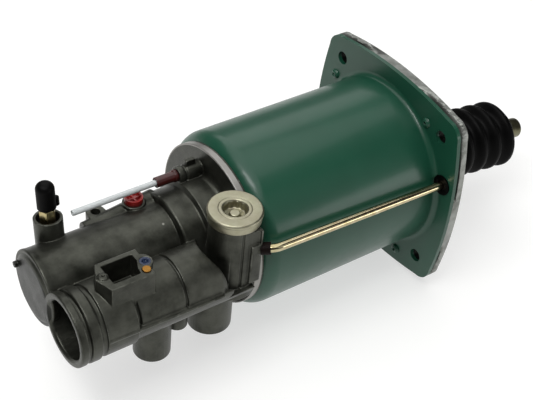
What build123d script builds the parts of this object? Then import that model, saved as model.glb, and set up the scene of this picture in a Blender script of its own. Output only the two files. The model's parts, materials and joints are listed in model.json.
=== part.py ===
from build123d import *
import os
from math import cos, radians, sin, tan

# Air-assisted hydraulic clutch servo, in millimetres.
# X runs along the main axis towards the push rod, Z is up and the bleed screw points up.
# The origin is the middle of the mounting plate's rear face.

# Mounting plate and the can's flange share one outline
PLATE_THICKNESS = 6.5
SHEET_THICKNESS = 3.0
FLANGE_MARGIN = 8.5
CORNER_RADIUS = 12.0
SIDE_BULGE = 6.0
BOLT_INSET = 7.5
BOLT_HOLE_RADIUS = 5.0
BOLT_PAD_RADIUS = 9.5
RELIEF_DEPTH = 1.8
RELIEF_CUTS = ((142.4, 5.2), (45.6, 12.1), (225.0, 13.5), (315.0, 23.8))
PLATE_HOLE_RADIUS = 22.0
SPIGOT_LENGTH = 5.5
SPIGOT_WALL = 3.0
SPIGOT_CLEARANCE = 0.2

# Air cylinder can
CAN_RADIUS = 62.5
CAN_WALL = 2.0
CAN_LENGTH = 146.5
CAN_END_THICKNESS = 2.5
CAN_SHOULDER_RADIUS = 12.0
CAN_FLANGE_FILLET = 4.0
CAN_HOLE_RADIUS = 24.0

# Plate screws, small ones between sheet and plate: angle, and place beyond the can
PLATE_SCREWS = ((32.35, 8.5), (-32.35, 8.5), (124.5, 7.5), (-118.2, 10.6))
SCREW_HOLE_CLEARANCE = 0.1
PLATE_SCREW_RADIUS = 2.0
PLATE_SCREW_HEAD_RADIUS = 3.4
PLATE_SCREW_HEAD_HEIGHT = 1.9
SCREW_DRIVE_RADIUS = 2.0

# Gasket between can and plate
GASKET_INSET = 1.0
GASKET_WIDTH = 1.6
GASKET_DEPTH = 1.5

# Piston, plunger and push rod
BALL_X = -51.5
BALL_RADIUS = 11.0
BALL_CLEARANCE = 0.05
ROD_RADIUS = 8.0
ROD_LENGTH = 192.0
ROD_TIP_CHAMFER = 1.5
ROD_TILT = 8.0
ROD_GROOVE_FROM_BALL = 172.5
ROD_GROOVE_WIDTH = 5.0
ROD_GROOVE_DEPTH = 1.0
PISTON_CLEARANCE = 0.6
PISTON_FRONT = -66.0
PISTON_RIM_WIDTH = 14.0
PISTON_WEB = 5.0
HUB_RADIUS = 23.0
HUB_BACK = -40.0
SEAT_RING_RADIUS = 19.0
SEAT_RING_BORE = 10.2
SEAL_GROOVE_DEPTH = 5.0
SEAL_WIDTH = 4.0
GUIDE_RING_WIDTH = 4.0
RIM_LAND = 2.0
RUNNING_CLEARANCE = 0.05
SEAT_RING_THICKNESS = 2.5
PLUNGER_RADIUS = 12.0
PLUNGER_HEAD_RADIUS = 17.95
PLUNGER_HEAD_GAP = 18.0
PLUNGER_HEAD_LENGTH = 15.0
PLUNGER_SEAL_WIDTH = 4.0
PLUNGER_SEAL_DEPTH = 3.0
PLUNGER_FOOT_DEPTH = 2.0

# Casting: disc, neck, main barrel
DISC_INSET = 5.0
DISC_THICKNESS = 4.0
DISC_LIP = 2.0
DISC_GAP = 0.1
NECK_RADIUS = 34.5
NECK_WIDE_RADIUS = 37.5
NECK_WIDE_LENGTH = 18.0
NECK_LENGTH = 40.5
NECK_FILLET = 4.0
NECK_EDGE = 2.0
BARREL_RADIUS = 25.5
BARREL_Z = 3.8
BARREL_LENGTH = 90.5
END_RADIUS = 24.6
END_ROUND = 5.5
END_LENGTH = 5.5
END_NUB_RADIUS = 2.2
END_NUB_LENGTH = 2.8
END_NUB_Y = 18.0
END_NUB_Z = 11.5
MAIN_BORE_RADIUS = 18.0
END_WALL = 6.5

# Guide bush and its screws in the neck
BUSH_RADIUS = 20.0
BUSH_LENGTH = 26.0
BUSH_CLEARANCE = 0.05
BUSH_SEAL_WIDTH = 3.5
BUSH_SEAL_DEPTH = 3.0
HOUSING_SPIGOT = 2.2
SCREW_CIRCLE = 29.5
HOUSING_SCREW_COUNT = 6
HOUSING_SCREW_RADIUS = 3.0
HOUSING_SCREW_DEPTH = 16.0
HOUSING_SCREW_HEAD_RADIUS = 5.0
HOUSING_SCREW_HEAD_HEIGHT = 4.0
HOUSING_SCREW_HEX = 5.0

# Bleed boss, screw and cap
BLEED_FROM_END = 23.0
BLEED_BOSS_RADIUS = 9.5
BLEED_BOSS_TOP = 38.9
BLEED_Y = 20.0
BLEED_TILT = 6.0
BLEED_BOSS_LENGTH = 38.0
BLEED_PORT_DEPTH = 37.5
BLEED_COUNTERBORE_RADIUS = 7.5
BLEED_COUNTERBORE_DEPTH = 8.0
BLEED_THREAD_RADIUS = 4.0
BLEED_PORT_RADIUS = 1.6
BLEED_SEAT_DEPTH = 22.0
BLEED_CONE = 3.0
BLEED_HEX_SINK = 4.0
BLEED_NECK_STEP = 0.7
BLEED_HEX = 9.5
BLEED_HEX_HEIGHT = 11.0
BLEED_NIPPLE_RADIUS = 3.2
BLEED_TIP_RISE = 22.0
CAP_RADIUS = 6.1
CAP_BOTTOM = 7.6
CAP_TOP = 26.2
CAP_BORE_CLEARANCE = 0.1
CAP_BULGE = 2.6
CAP_CROWN = 0.8

# Valve chamber beside the main barrel
VALVE_Y = -42.0
VALVE_Z = 4.0
VALVE_FACE_INSET = 0.0
VALVE_RADIUS = 22.0
VALVE_LENGTH = 108.5
VALVE_CHAMFER_LENGTH = 6.0
MOUTH_RIM_RADIUS = 24.6
MOUTH_RIM_WIDTH = 5.0
MOUTH_GROOVE_WIDTH = 2.6
MOUTH_BAND_WIDTH = 7.4
MOUTH_NECK_WIDTH = 3.4
MOUTH_NECK_RADIUS = 22.4
SLEEVE_RADIUS = 24.0
SLEEVE_LENGTH_TO_SLOT = 39.9
SLOT_WIDTH = 3.0
SLOT_DEPTH = 2.4
SEAM_FROM_FACE = 74.5
SEAM_WIDTH = 2.0
SEAM_DEPTH = 1.4
MOUTH_BORE_RADIUS = 19.5
MOUTH_BORE_DEPTH = 18.5
BAFFLE_SEAT_RADIUS = 17.8
BAFFLE_SEAT_DEPTH = 5.5
MOUTH_CHAMFER = 1.6
CHAMBER_BORE_RADIUS = 15.0
CHAMBER_BORE_DEPTH = 92.5
AIR_WAY_RADIUS = 5.0
PRESS_CLEARANCE = 0.02
UNDERSIDE_RADIUS = 22.4
UNDERSIDE_TOP = 3.0
RIB_RADIUS = 24.6
RIB_Z = 4.3
RIB_HEIGHT = 1.8
RIB_TILT = 1.95
UNDERSIDE_BEYOND = 20.0

# Valve parts
CONTROL_PISTON_GAP = 6.5
CONTROL_PISTON_LENGTH = 20.0
CONTROL_STEM_RADIUS = 4.0
CONTROL_STEM_LENGTH = 8.0
SMALL_SEAL_WIDTH = 3.0
SMALL_SEAL_DEPTH = 2.2
CONTROL_TRAVEL_GAP = 6.0
SLEEVE_LENGTH = 8.0
SLEEVE_BORE_RADIUS = 7.0
INLET_GAP = 0.4
INLET_HEAD_RADIUS = 10.5
INLET_HEAD_THICKNESS = 3.5
INLET_STEM_RADIUS = 3.0
INLET_NOSE_RADIUS = 5.0
INLET_STEM_LENGTH = 13.0
RETAINER_LENGTH = 4.0
BAFFLE_THICKNESS = 3.0
BAFFLE_HOLE_RADIUS = 3.2
BAFFLE_HOLES = 6
BAFFLE_HOLE_CIRCLE = 10.0
MOUTH_RING_WIDTH = 1.6
MOUTH_RING_WALL = 2.5
MOUTH_RING_GAP = 7.0

# Springs: wire radius, coil radius, turns
PRELOAD_WIRE = 1.4
PRELOAD_COIL = 14.0
PRELOAD_TURNS = 3.5
CONTROL_WIRE = 0.9
CONTROL_COIL = 10.5
CONTROL_TURNS = 2.5
INLET_WIRE = 0.7
INLET_COIL = 7.5
INLET_TURNS = 2.5
SPRING_SEAT_GAP = 0.3

# Pillar and its plug
PILLAR_FROM_CAN = 14.6
PILLAR_INSET_Y = 19.7
PILLAR_RADIUS = 16.6
PLUG_SPOT_FACE_CLEARANCE = 1.0
PILLAR_INSET_Z = 19.0
PILLAR_BOTTOM = -15.0
SCOOP_RADIUS = 24.0
SCOOP_FLOOR = -4.5
SCOOP_FLAT = 9.0
PAD_REACH = 18.7
PAD_FROM_CAN = 4.2
PAD_WIDTH = 8.2
PAD_BOTTOM = -1.0
PAD_TOP_DROP = 2.0
PAD_NOTCH_WIDTH = 9.0
PAD_NOTCH_HEIGHT = 11.0
PAD_NOTCH_DEPTH = 2.0
PARTING_WIDTH = 1.6
PARTING_DEPTH = 1.6
PARTING_OFFSET = 3.2
PLUG_RADIUS = 17.4
PLUG_HEIGHT = 6.5
PLUG_CHAMFER = 0.9
PLUG_RECESS_RADIUS = 8.7
PLUG_RECESS_DEPTH = 6.0
PLUG_LIP_WIDTH = 1.6
PLUG_LIP_HEIGHT = 0.5
PLUG_GROOVE_INNER = 12.6
PLUG_GROOVE_OUTER = 14.0
PLUG_GROOVE_DEPTH = 0.6
PLUG_HUB_RADIUS = 4.4
PLUG_HUB_HEIGHT = 2.6
PLUG_SHANK_RADIUS = 10.0
PLUG_SHANK_LENGTH = 12.0
PLUG_SEAL_WIDTH = 2.2
PLUG_SEAL_DEPTH = 1.8
PILLAR_BORE_RADIUS = 9.0
PILLAR_FLOOR = 4.0
CROSS_WAY_Z = -9.5
CROSS_WAY_RADIUS = 3.5
AIR_WAY_TOP = -2.0

# Air pipe from the pad to the flange
PIPE_RADIUS = 2.9
PIPE_BORE = 2.0
PIPE_SEAT = 2.0
PIPE_START_INSET = 3.5
PIPE_START_Z = 24.6
PIPE_CORNER_RUN = 9.7
PIPE_CORNER_Z = 26.5
PIPE_CAN_GAP = 0.1
PIPE_END_SHORT = 3.0
PIPE_END_Z = 20.4
PIPE_BEND_RADIUS = 12.0
PIPE_NUT_RADIUS = 4.2
PIPE_NUT_LENGTH = 6.5
GROMMET_RADIUS = 5.9
GROMMET_HEAD_RADIUS = 7.4
GROMMET_HEAD_HEIGHT = 1.0
PASSAGE_DEPTH = 4.5

# Ports that point down
INLET_BOSS_FROM_FACE = 65.7
INLET_BOSS_OFFSET = 3.5
INLET_BOSS_RADIUS = 12.6
AIR_BOSS_FROM_CAN = 23.5
AIR_BOSS_OFFSET = 7.0
AIR_BOSS_RADIUS = 15.2
BOSS_BOTTOM = -52.0
BOSS_CHAMFER = 1.5
PORT_RADIUS = 7.0
PORT_DEPTH = 15.0
AIR_PORT_RADIUS = 9.0
SMALL_BOSS_FROM_CAN = 52.5
SMALL_BOSS_OFFSET = 2.5
SMALL_BOSS_RADIUS = 7.0
SMALL_BOSS_BOTTOM = -37.0

# Port channel on the far side of the barrel, with its plug and lug
CHANNEL_Y = 17.0
CHANNEL_Z = 18.0
CHANNEL_LENGTH = 49.5
CHANNEL_FRONT_RADIUS = 6.5
CHANNEL_BACK_RADIUS = 11.5
RED_PORT_FROM_NECK = 13.0
RED_PORT_Y = 16.5
RED_PORT_TOP = 29.0
RED_PORT_BOSS_RADIUS = 7.6
RED_PORT_BORE = 4.2
RED_PORT_BORE_DEPTH = 10.0
RED_CAP_RADIUS = 6.3
RED_CAP_HEIGHT = 4.2
RED_CAP_RECESS = 4.6
RED_CAP_RECESS_DEPTH = 3.0
RED_CAP_SHANK_LENGTH = 7.0
RED_CAP_RIB = 1.2
RED_CAP_CLEARANCE = 0.1
LUG_FROM_NECK = 37.0
LUG_Y = 24.0
LUG_TOP = 25.0
LUG_RADIUS = 6.5
LUG_HEIGHT = 12.0
LUG_HOLE_RADIUS = 3.0

# Vent tube, its connector and the nipple boss on the neck
VENT_Y = 15.0
VENT_Z = 39.4
VENT_BOSS_LENGTH = 18.0
VENT_BOSS_RADIUS = 5.8
VENT_WAIST_RADIUS = 4.9
VENT_WAIST_FROM_FRONT = 4.2
VENT_WAIST_LENGTH = 2.0
VENT_FIN_HEIGHT = 10.0
VENT_FIN_WIDTH = 3.2
VENT_FIN_LENGTH = 7.0
VENT_FIN_FROM_FRONT = 6.5
VENT_BORE = 3.0
VENT_BORE_DEPTH = 9.0
VENT_TUBE_RADIUS = 2.0
VENT_TUBE_WALL = 0.6
VENT_TUBE_REACH = 77.0
VENT_TUBE_SEAT = 8.0
CONNECTOR_LENGTH = 16.0
CONNECTOR_RADIUS = 3.6
CONNECTOR_COLLAR_RADIUS = 4.2
CONNECTOR_COLLAR_LENGTH = 2.5
CONNECTOR_SHANK_LENGTH = 7.0
CONNECTOR_CLEARANCE = 0.1

# Electrical socket on top of the valve chamber
SOCKET_FROM_FACE = 26.0
SOCKET_LENGTH = 30.0
SOCKET_SIDE = 14.2
SOCKET_WIDTH = 25.0
SOCKET_TOP = 37.5
SOCKET_BOTTOM = 8.0
SOCKET_FRONT_WALL = 4.7
SOCKET_BACK_WALL = 3.4
SOCKET_END_WALL = 4.0
MARK_WALL_NEAR = 4.4
MARK_WALL_MIDDLE = 7.1
MARK_WALL_FAR = 7.8
MARK_WALL_TURNS = (4.7, 10.5)
SOCKET_TIP_INSET = 1.5
SOCKET_FLOOR = 20.0
SOCKET_POINT = 4.2
SOCKET_SCREW_INSET = 0.8
SOCKET_SCREW_OFFSET = 1.5
SOCKET_SCREW_BORE = 1.4
MARK_LUG_REACH = -2.0
MARK_LUG_OFFSET = -1.0
MARK_LUG_RADIUS = 6.8
MARK_RING_REACH = -2.0
MARK_RING_OFFSET = -0.5
MARK_RING_RADIUS = 3.6
MARK_BUSH_REACH = -1.1
MARK_BUSH_OFFSET = 7.6
MARK_BUSH_RADIUS = 2.9
MARK_BUSH_RISE = 0.8
MARK_DEPTH = 5.0
MARK_CLEARANCE = 0.05

# Dust boot
BOOT_RIBS = 8
BOOT_FIRST_RIB = 5.0
BOOT_PITCH = 14.9
BOOT_RIB_RADIUS = 26.5
BOOT_VALLEY_RADIUS = 20.5
BOOT_CREST_WIDTH = 4.0
BOOT_VALLEY_WIDTH = 2.4
BOOT_WALL = 1.8
BOOT_LIP_RADIUS = 24.6
BOOT_LIP_THICKNESS = 2.4
BOOT_SEAT_GAP = 0.1
BOOT_GRIP_GAP = 0.3
BOOT_SHOULDER_LENGTH = 4.0
BOOT_END_LENGTH = 5.0
BOOT_END_WALL = 3.2
BOOT_SETTLE_LENGTH = 60.0

# Places worked out from the sizes above
PLATE_FACE = -PLATE_THICKNESS
FLANGE_FACE = PLATE_FACE - SHEET_THICKNESS
CAN_END = FLANGE_FACE - CAN_LENGTH
CAN_BORE = CAN_RADIUS - CAN_WALL
CAN_FLOOR = CAN_END + CAN_END_THICKNESS
FLANGE_EDGE = CAN_RADIUS + FLANGE_MARGIN
CORNER_START = FLANGE_EDGE - CORNER_RADIUS
BOLT_SPACING = 2 * (CAN_RADIUS - BOLT_INSET)
GASKET_RADIUS = CAN_RADIUS - GASKET_INSET
DISC_RADIUS = CAN_RADIUS - DISC_INSET
DISC_FRONT = CAN_END - DISC_THICKNESS
NECK_FRONT = CAN_END - NECK_LENGTH
BARREL_FRONT = NECK_FRONT - BARREL_LENGTH
END_FACE = BARREL_FRONT - END_LENGTH
MAIN_BORE_END = END_FACE + END_WALL
BUSH_FRONT = CAN_END - BUSH_LENGTH
PLUNGER_HEAD_BACK = BUSH_FRONT - PLUNGER_HEAD_GAP
BLEED_X = END_FACE + BLEED_FROM_END
VALVE_FACE = END_FACE + VALVE_FACE_INSET
VALVE_BACK = VALVE_FACE + VALVE_LENGTH
SLEEVE_END = VALVE_FACE + SLEEVE_LENGTH_TO_SLOT
SEAM_X = VALVE_FACE + SEAM_FROM_FACE
BAFFLE_BACK = VALVE_FACE + MOUTH_BORE_DEPTH + BAFFLE_SEAT_DEPTH
CHAMBER_BORE_END = VALVE_FACE + CHAMBER_BORE_DEPTH
CONTROL_PISTON_FRONT = BAFFLE_BACK + CONTROL_PISTON_GAP
CONTROL_PISTON_BACK = CONTROL_PISTON_FRONT + CONTROL_PISTON_LENGTH
SLEEVE_FRONT = CONTROL_PISTON_BACK + CONTROL_STEM_LENGTH + CONTROL_TRAVEL_GAP
INLET_HEAD_FRONT = SLEEVE_FRONT + SLEEVE_LENGTH + INLET_GAP
INLET_HEAD_BACK = INLET_HEAD_FRONT + INLET_HEAD_THICKNESS
PILLAR_X = CAN_END - PILLAR_FROM_CAN
PILLAR_Y = PILLAR_INSET_Y - CAN_RADIUS
PILLAR_TOP = CAN_RADIUS - PILLAR_INSET_Z
PARTING_X = PILLAR_X - PARTING_OFFSET
PAD_Y = PILLAR_Y - PAD_REACH
PAD_BACK = CAN_END - PAD_FROM_CAN
PAD_FRONT = PAD_BACK - PAD_WIDTH
PIPE_Y = -(CAN_RADIUS + PIPE_RADIUS + PIPE_CAN_GAP)
PIPE_START = (PAD_BACK - PIPE_SEAT, PAD_Y + PIPE_START_INSET, PIPE_START_Z)
PIPE_CORNER = (PIPE_START[0] + PIPE_CORNER_RUN, PIPE_Y, PIPE_CORNER_Z)
PIPE_END = (-PIPE_END_SHORT, PIPE_Y, PIPE_END_Z)
INLET_BOSS_X = VALVE_FACE + INLET_BOSS_FROM_FACE
INLET_BOSS_Y = VALVE_Y + INLET_BOSS_OFFSET
AIR_BOSS_X = CAN_END - AIR_BOSS_FROM_CAN
AIR_BOSS_Y = VALVE_Y + AIR_BOSS_OFFSET
SMALL_BOSS_X = CAN_END - SMALL_BOSS_FROM_CAN
SMALL_BOSS_Y = VALVE_Y + SMALL_BOSS_OFFSET
CHANNEL_FRONT = NECK_FRONT - CHANNEL_LENGTH
RED_PORT_X = NECK_FRONT - RED_PORT_FROM_NECK
LUG_X = NECK_FRONT - LUG_FROM_NECK
VENT_BOSS_FRONT = DISC_FRONT - VENT_BOSS_LENGTH
VENT_TUBE_FRONT = VENT_BOSS_FRONT - VENT_TUBE_REACH
SOCKET_FRONT = VALVE_FACE + SOCKET_FROM_FACE
SOCKET_BACK = SOCKET_FRONT + SOCKET_LENGTH
SOCKET_LOW_Y = VALVE_Y - SOCKET_SIDE
SOCKET_HIGH_Y = SOCKET_LOW_Y + SOCKET_WIDTH
SOCKET_SCREW_X = SOCKET_FRONT + SOCKET_SCREW_INSET
SOCKET_SCREW_Y = VALVE_Y - SOCKET_SCREW_OFFSET
MARK_LUG_X = SOCKET_BACK + MARK_LUG_REACH
MARK_LUG_Y = VALVE_Y + MARK_LUG_OFFSET
MARK_RING_X = MARK_LUG_X - MARK_RING_REACH
MARK_RING_Y = MARK_LUG_Y + MARK_RING_OFFSET
MARK_BUSH_X = MARK_LUG_X + MARK_BUSH_REACH
MARK_BUSH_Y = MARK_LUG_Y - MARK_BUSH_OFFSET
TILT = radians(ROD_TILT)


def rod_x(radius, low, high, y=0.0, z=0.0):
    """A cylinder along X between two X places."""
    return Pos((low + high) / 2, y, z) * Rot(0, 90, 0) * Cylinder(radius, high - low)


def rod_z(radius, low, high, x=0.0, y=0.0):
    """A cylinder along Z between two heights."""
    return Pos(x, y, (low + high) / 2) * Cylinder(radius, high - low)


def block(low, high):
    """A box between two opposite corners."""
    size = [b - a for a, b in zip(low, high)]
    middle = [(a + b) / 2 for a, b in zip(low, high)]
    return Pos(*middle) * Box(*size)


def turned(points, rounds=(), y=0.0, z=0.0):
    """A solid turned about an axis along X from (x, radius) points; rounds gives (corner number, radius)."""
    face = make_face(Polyline(*points, close=True))
    for index, radius in rounds:
        corner = face.vertices().sort_by_distance((*points[index], 0))[0]
        face = fillet(corner, radius)
    return Pos(0, y, z) * revolve(face, Axis.X)


def turned_z(points, x=0.0, y=0.0):
    """A solid turned about a vertical axis from (radius, height) points."""
    face = make_face(Plane.XZ * Polyline(*points, close=True))
    return Pos(x, y, 0) * revolve(face, Axis.Z)


def ring_x(inner, outer, low, high, y=0.0, z=0.0):
    """A ring with a rectangular section about an axis along X."""
    return turned([(low, inner), (high, inner), (high, outer), (low, outer)], (), y, z)


def spring_x(wire, coil, low, high, turns, y=0.0, z=0.0):
    """A round-wire compression spring along X that lies between two seats."""
    length = high - low - 2 * wire
    path = Helix(length / turns, length, coil)
    start = path @ 0
    section = Plane(origin=start, z_dir=path % 0) * RegularPolygon(wire, 6)
    coils = sweep(section, path=path, is_frenet=True)
    return Pos(low + wire, y, z) * Rot(0, 90, 0) * coils


def plate_outline():
    """The bulged square that the plate and the can's flange share."""
    edge = FLANGE_EDGE
    diagonal = CORNER_START + CORNER_RADIUS * cos(radians(45))
    side = ThreePointArc((-CORNER_START, edge), (0, edge + SIDE_BULGE), (CORNER_START, edge))
    corner = ThreePointArc((CORNER_START, edge), (diagonal, diagonal), (edge, CORNER_START))
    lines = [Rot(0, 0, 90 * turn) * line for turn in range(4) for line in (side, corner)]
    return make_face(lines)


def slab(sketch, low, high):
    """A sketch in Y and Z made solid between two X places."""
    return extrude(Plane.YZ.offset(low) * sketch, high - low)


def bolt_places():
    """The four bolt holes' places in Y and Z."""
    half = BOLT_SPACING / 2
    return [(half, half), (-half, half), (-half, -half), (half, -half)]


def plate_screw_places():
    """The small plate screws' places in Y and Z."""
    places = []
    for angle, beyond_can in PLATE_SCREWS:
        circle = CAN_RADIUS + beyond_can
        places.append((circle * cos(radians(angle)), circle * sin(radians(angle))))
    return places


def can():
    """The deep-drawn can with its flange in one piece."""
    flare = CAN_RADIUS + CAN_FLANGE_FILLET + 2
    inner_round = CAN_SHOULDER_RADIUS - CAN_WALL
    body = turned([(PLATE_FACE, CAN_BORE), (PLATE_FACE, flare), (FLANGE_FACE, flare),
                   (FLANGE_FACE, CAN_RADIUS), (CAN_END, CAN_RADIUS), (CAN_END, CAN_HOLE_RADIUS),
                   (CAN_FLOOR, CAN_HOLE_RADIUS), (CAN_FLOOR, CAN_BORE)],
                  ((3, CAN_FLANGE_FILLET), (4, CAN_SHOULDER_RADIUS), (7, inner_round)))
    sheet = slab(plate_outline(), FLANGE_FACE, PLATE_FACE) - rod_x(CAN_RADIUS + 1, FLANGE_FACE - 1, 0)
    body += sheet
    for y, z in bolt_places():
        body -= rod_x(BOLT_HOLE_RADIUS, FLANGE_FACE - 1, 0, y, z)
    for y, z in plate_screw_places():
        body -= rod_x(PLATE_SCREW_RADIUS + SCREW_HOLE_CLEARANCE, FLANGE_FACE - 1, 0, y, z)
    for angle in housing_screw_angles():
        y, z = SCREW_CIRCLE * cos(angle), SCREW_CIRCLE * sin(angle)
        body -= rod_x(HOUSING_SCREW_RADIUS + SCREW_HOLE_CLEARANCE, CAN_END - 1, CAN_FLOOR + 1, y, z)
    body -= rod_x(GROMMET_RADIUS, FLANGE_FACE, 0, PIPE_Y, PIPE_END_Z)
    head_room = GROMMET_HEAD_RADIUS + SCREW_HOLE_CLEARANCE
    body -= rod_x(head_room, FLANGE_FACE - CAN_FLANGE_FILLET, FLANGE_FACE, PIPE_Y, PIPE_END_Z)
    return body


def plate():
    """The cast mounting plate: spigot, relieved corners, gasket groove and boot hole."""
    body = slab(plate_outline(), PLATE_FACE, 0)
    spigot_radius = CAN_BORE - SPIGOT_CLEARANCE
    body += ring_x(spigot_radius - SPIGOT_WALL, spigot_radius, PLATE_FACE - SPIGOT_LENGTH, PLATE_FACE)
    reach = 2 * FLANGE_EDGE
    for angle, beyond_can in RELIEF_CUTS:
        start = CAN_RADIUS + beyond_can
        cut = block((PLATE_FACE, start, -reach), (PLATE_FACE + RELIEF_DEPTH, start + reach, reach))
        body -= Rot(angle, 0, 0) * cut
    for y, z in bolt_places():
        body += rod_x(BOLT_PAD_RADIUS, PLATE_FACE, -1, y, z)
        body -= rod_x(BOLT_HOLE_RADIUS, PLATE_FACE - 1, 1, y, z)
    for y, z in plate_screw_places():
        body += rod_x(PLATE_SCREW_HEAD_RADIUS, PLATE_FACE, -1, y, z)
        body -= rod_x(PLATE_SCREW_RADIUS, PLATE_FACE - 1, 1, y, z)
    body -= rod_x(PLATE_HOLE_RADIUS, PLATE_FACE - 1, 1)
    body -= ring_x(GASKET_RADIUS - GASKET_WIDTH / 2, GASKET_RADIUS + GASKET_WIDTH / 2,
                   PLATE_FACE, PLATE_FACE + GASKET_DEPTH)
    body -= rod_x(GROMMET_RADIUS, PLATE_FACE - 1, PLATE_FACE + PASSAGE_DEPTH, PIPE_Y, PIPE_END_Z)
    return body


def gasket():
    """The ring in the plate's groove that seals the can."""
    return ring_x(GASKET_RADIUS - GASKET_WIDTH / 2, GASKET_RADIUS + GASKET_WIDTH / 2,
                  PLATE_FACE, PLATE_FACE + GASKET_DEPTH)


def plate_screws():
    """Four pan-head screws from the flange into the plate."""
    screws = []
    for y, z in plate_screw_places():
        head = rod_x(PLATE_SCREW_HEAD_RADIUS, FLANGE_FACE - PLATE_SCREW_HEAD_HEIGHT, FLANGE_FACE, y, z)
        edge = head.edges().group_by(Axis.X)[0]
        head = fillet(edge, PLATE_SCREW_HEAD_HEIGHT * 0.6)
        drive_top = FLANGE_FACE - PLATE_SCREW_HEAD_HEIGHT / 2
        drive = rod_x(SCREW_DRIVE_RADIUS, FLANGE_FACE - 2 * PLATE_SCREW_HEAD_HEIGHT, drive_top, y, z)
        shank = rod_x(PLATE_SCREW_RADIUS, FLANGE_FACE, -0.5, y, z)
        screws.append(head - drive + shank)
    return Compound(children=screws)


def housing_screw_angles():
    """The angles of the screws that hold the casting to the can."""
    step = 360 / HOUSING_SCREW_COUNT
    return [radians(step * (i + 0.5)) for i in range(HOUSING_SCREW_COUNT)]


def housing_screws():
    """Socket-head screws from inside the can into the casting's neck."""
    screws = []
    for angle in housing_screw_angles():
        y, z = SCREW_CIRCLE * cos(angle), SCREW_CIRCLE * sin(angle)
        top = CAN_FLOOR + HOUSING_SCREW_HEAD_HEIGHT
        head = rod_x(HOUSING_SCREW_HEAD_RADIUS, CAN_FLOOR, top, y, z)
        hexagon = RegularPolygon(HOUSING_SCREW_HEX / 2, 6, major_radius=False)
        key = Pos(0, y, z) * slab(hexagon, top - HOUSING_SCREW_HEAD_HEIGHT / 2, top + 1)
        shank = rod_x(HOUSING_SCREW_RADIUS, CAN_END - HOUSING_SCREW_DEPTH, CAN_FLOOR, y, z)
        screws.append(head - key + shank)
    return Compound(children=screws)


def casting_neck():
    """Disc flange and neck on the main axis, then the main barrel and its rounded end a little higher."""
    body = turned([(CAN_END + DISC_LIP, 0), (CAN_END + DISC_LIP, DISC_RADIUS), (DISC_FRONT, DISC_RADIUS),
                   (DISC_FRONT, NECK_WIDE_RADIUS), (DISC_FRONT - NECK_WIDE_LENGTH, NECK_WIDE_RADIUS),
                   (DISC_FRONT - NECK_WIDE_LENGTH - 2, NECK_RADIUS), (NECK_FRONT, NECK_RADIUS),
                   (NECK_FRONT, 0)],
                  ((3, NECK_FILLET), (6, NECK_EDGE)))
    body += turned([(NECK_FRONT + 1, 0), (NECK_FRONT + 1, BARREL_RADIUS), (BARREL_FRONT, BARREL_RADIUS),
                    (BARREL_FRONT, END_RADIUS), (END_FACE, END_RADIUS), (END_FACE, 0)],
                   ((4, END_ROUND),), 0, BARREL_Z)
    can_reach = CAN_RADIUS + DISC_GAP
    body -= turned([(CAN_END, 0), (CAN_END, can_reach), (0, can_reach), (0, 0)], ((1, CAN_SHOULDER_RADIUS),))
    body += rod_x(CAN_HOLE_RADIUS - DISC_GAP, CAN_END - 1, CAN_END + HOUSING_SPIGOT)
    body += rod_x(END_NUB_RADIUS, END_FACE - END_NUB_LENGTH, END_FACE + 4, END_NUB_Y, END_NUB_Z)
    return body


def casting_valve_chamber():
    """The second barrel with the ringed mouth, slot, seam and thickened underside."""
    rim_back = VALVE_FACE + MOUTH_RIM_WIDTH
    band_front = rim_back + MOUTH_GROOVE_WIDTH
    band_back = band_front + MOUTH_BAND_WIDTH
    sleeve_front = band_back + MOUTH_NECK_WIDTH
    chamfered = VALVE_BACK - VALVE_CHAMFER_LENGTH
    body = turned([(VALVE_FACE, 0), (VALVE_FACE, MOUTH_RIM_RADIUS), (rim_back, MOUTH_RIM_RADIUS),
                   (rim_back, MOUTH_NECK_RADIUS), (band_front, MOUTH_NECK_RADIUS),
                   (band_front, MOUTH_RIM_RADIUS), (band_back, MOUTH_RIM_RADIUS),
                   (band_back, MOUTH_NECK_RADIUS), (sleeve_front, MOUTH_NECK_RADIUS),
                   (sleeve_front, SLEEVE_RADIUS), (SLEEVE_END, SLEEVE_RADIUS),
                   (SLEEVE_END, VALVE_RADIUS - SLOT_DEPTH),
                   (SLEEVE_END + SLOT_WIDTH, VALVE_RADIUS - SLOT_DEPTH),
                   (SLEEVE_END + SLOT_WIDTH, VALVE_RADIUS), (SEAM_X, VALVE_RADIUS),
                   (SEAM_X, VALVE_RADIUS - SEAM_DEPTH), (SEAM_X + SEAM_WIDTH, VALVE_RADIUS - SEAM_DEPTH),
                   (SEAM_X + SEAM_WIDTH, VALVE_RADIUS), (chamfered, VALVE_RADIUS),
                   (VALVE_BACK, VALVE_RADIUS - VALVE_CHAMFER_LENGTH / 2), (VALVE_BACK, 0)],
                  ((1, 1.2), (5, 1.2), (6, 1.2)), VALVE_Y, VALVE_Z)
    underside = rod_x(UNDERSIDE_RADIUS, sleeve_front + 1, VALVE_BACK + UNDERSIDE_BEYOND, VALVE_Y, VALVE_Z)
    low = (VALVE_FACE, VALVE_Y - CAN_RADIUS, VALVE_Z - CAN_RADIUS)
    high = (CAN_END, VALVE_Y + CAN_RADIUS, UNDERSIDE_TOP)
    body += underside & block(low, high)
    rib_middle = Pos((sleeve_front + chamfered) / 2, VALVE_Y - CAN_RADIUS / 2, RIB_Z)
    rib = rib_middle * Rot(0, RIB_TILT, 0) * Box(VALVE_LENGTH, CAN_RADIUS, RIB_HEIGHT)
    body += rib & rod_x(RIB_RADIUS, sleeve_front + 1, chamfered, VALVE_Y, VALVE_Z)
    body -= rod_z(SCOOP_RADIUS, SCOOP_FLOOR, CAN_RADIUS, PILLAR_X, PILLAR_Y)
    return body - block((PILLAR_X - SCOOP_FLAT, VALVE_Y - CAN_RADIUS, SCOOP_FLOOR), (CAN_END, 0, CAN_RADIUS))


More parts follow.
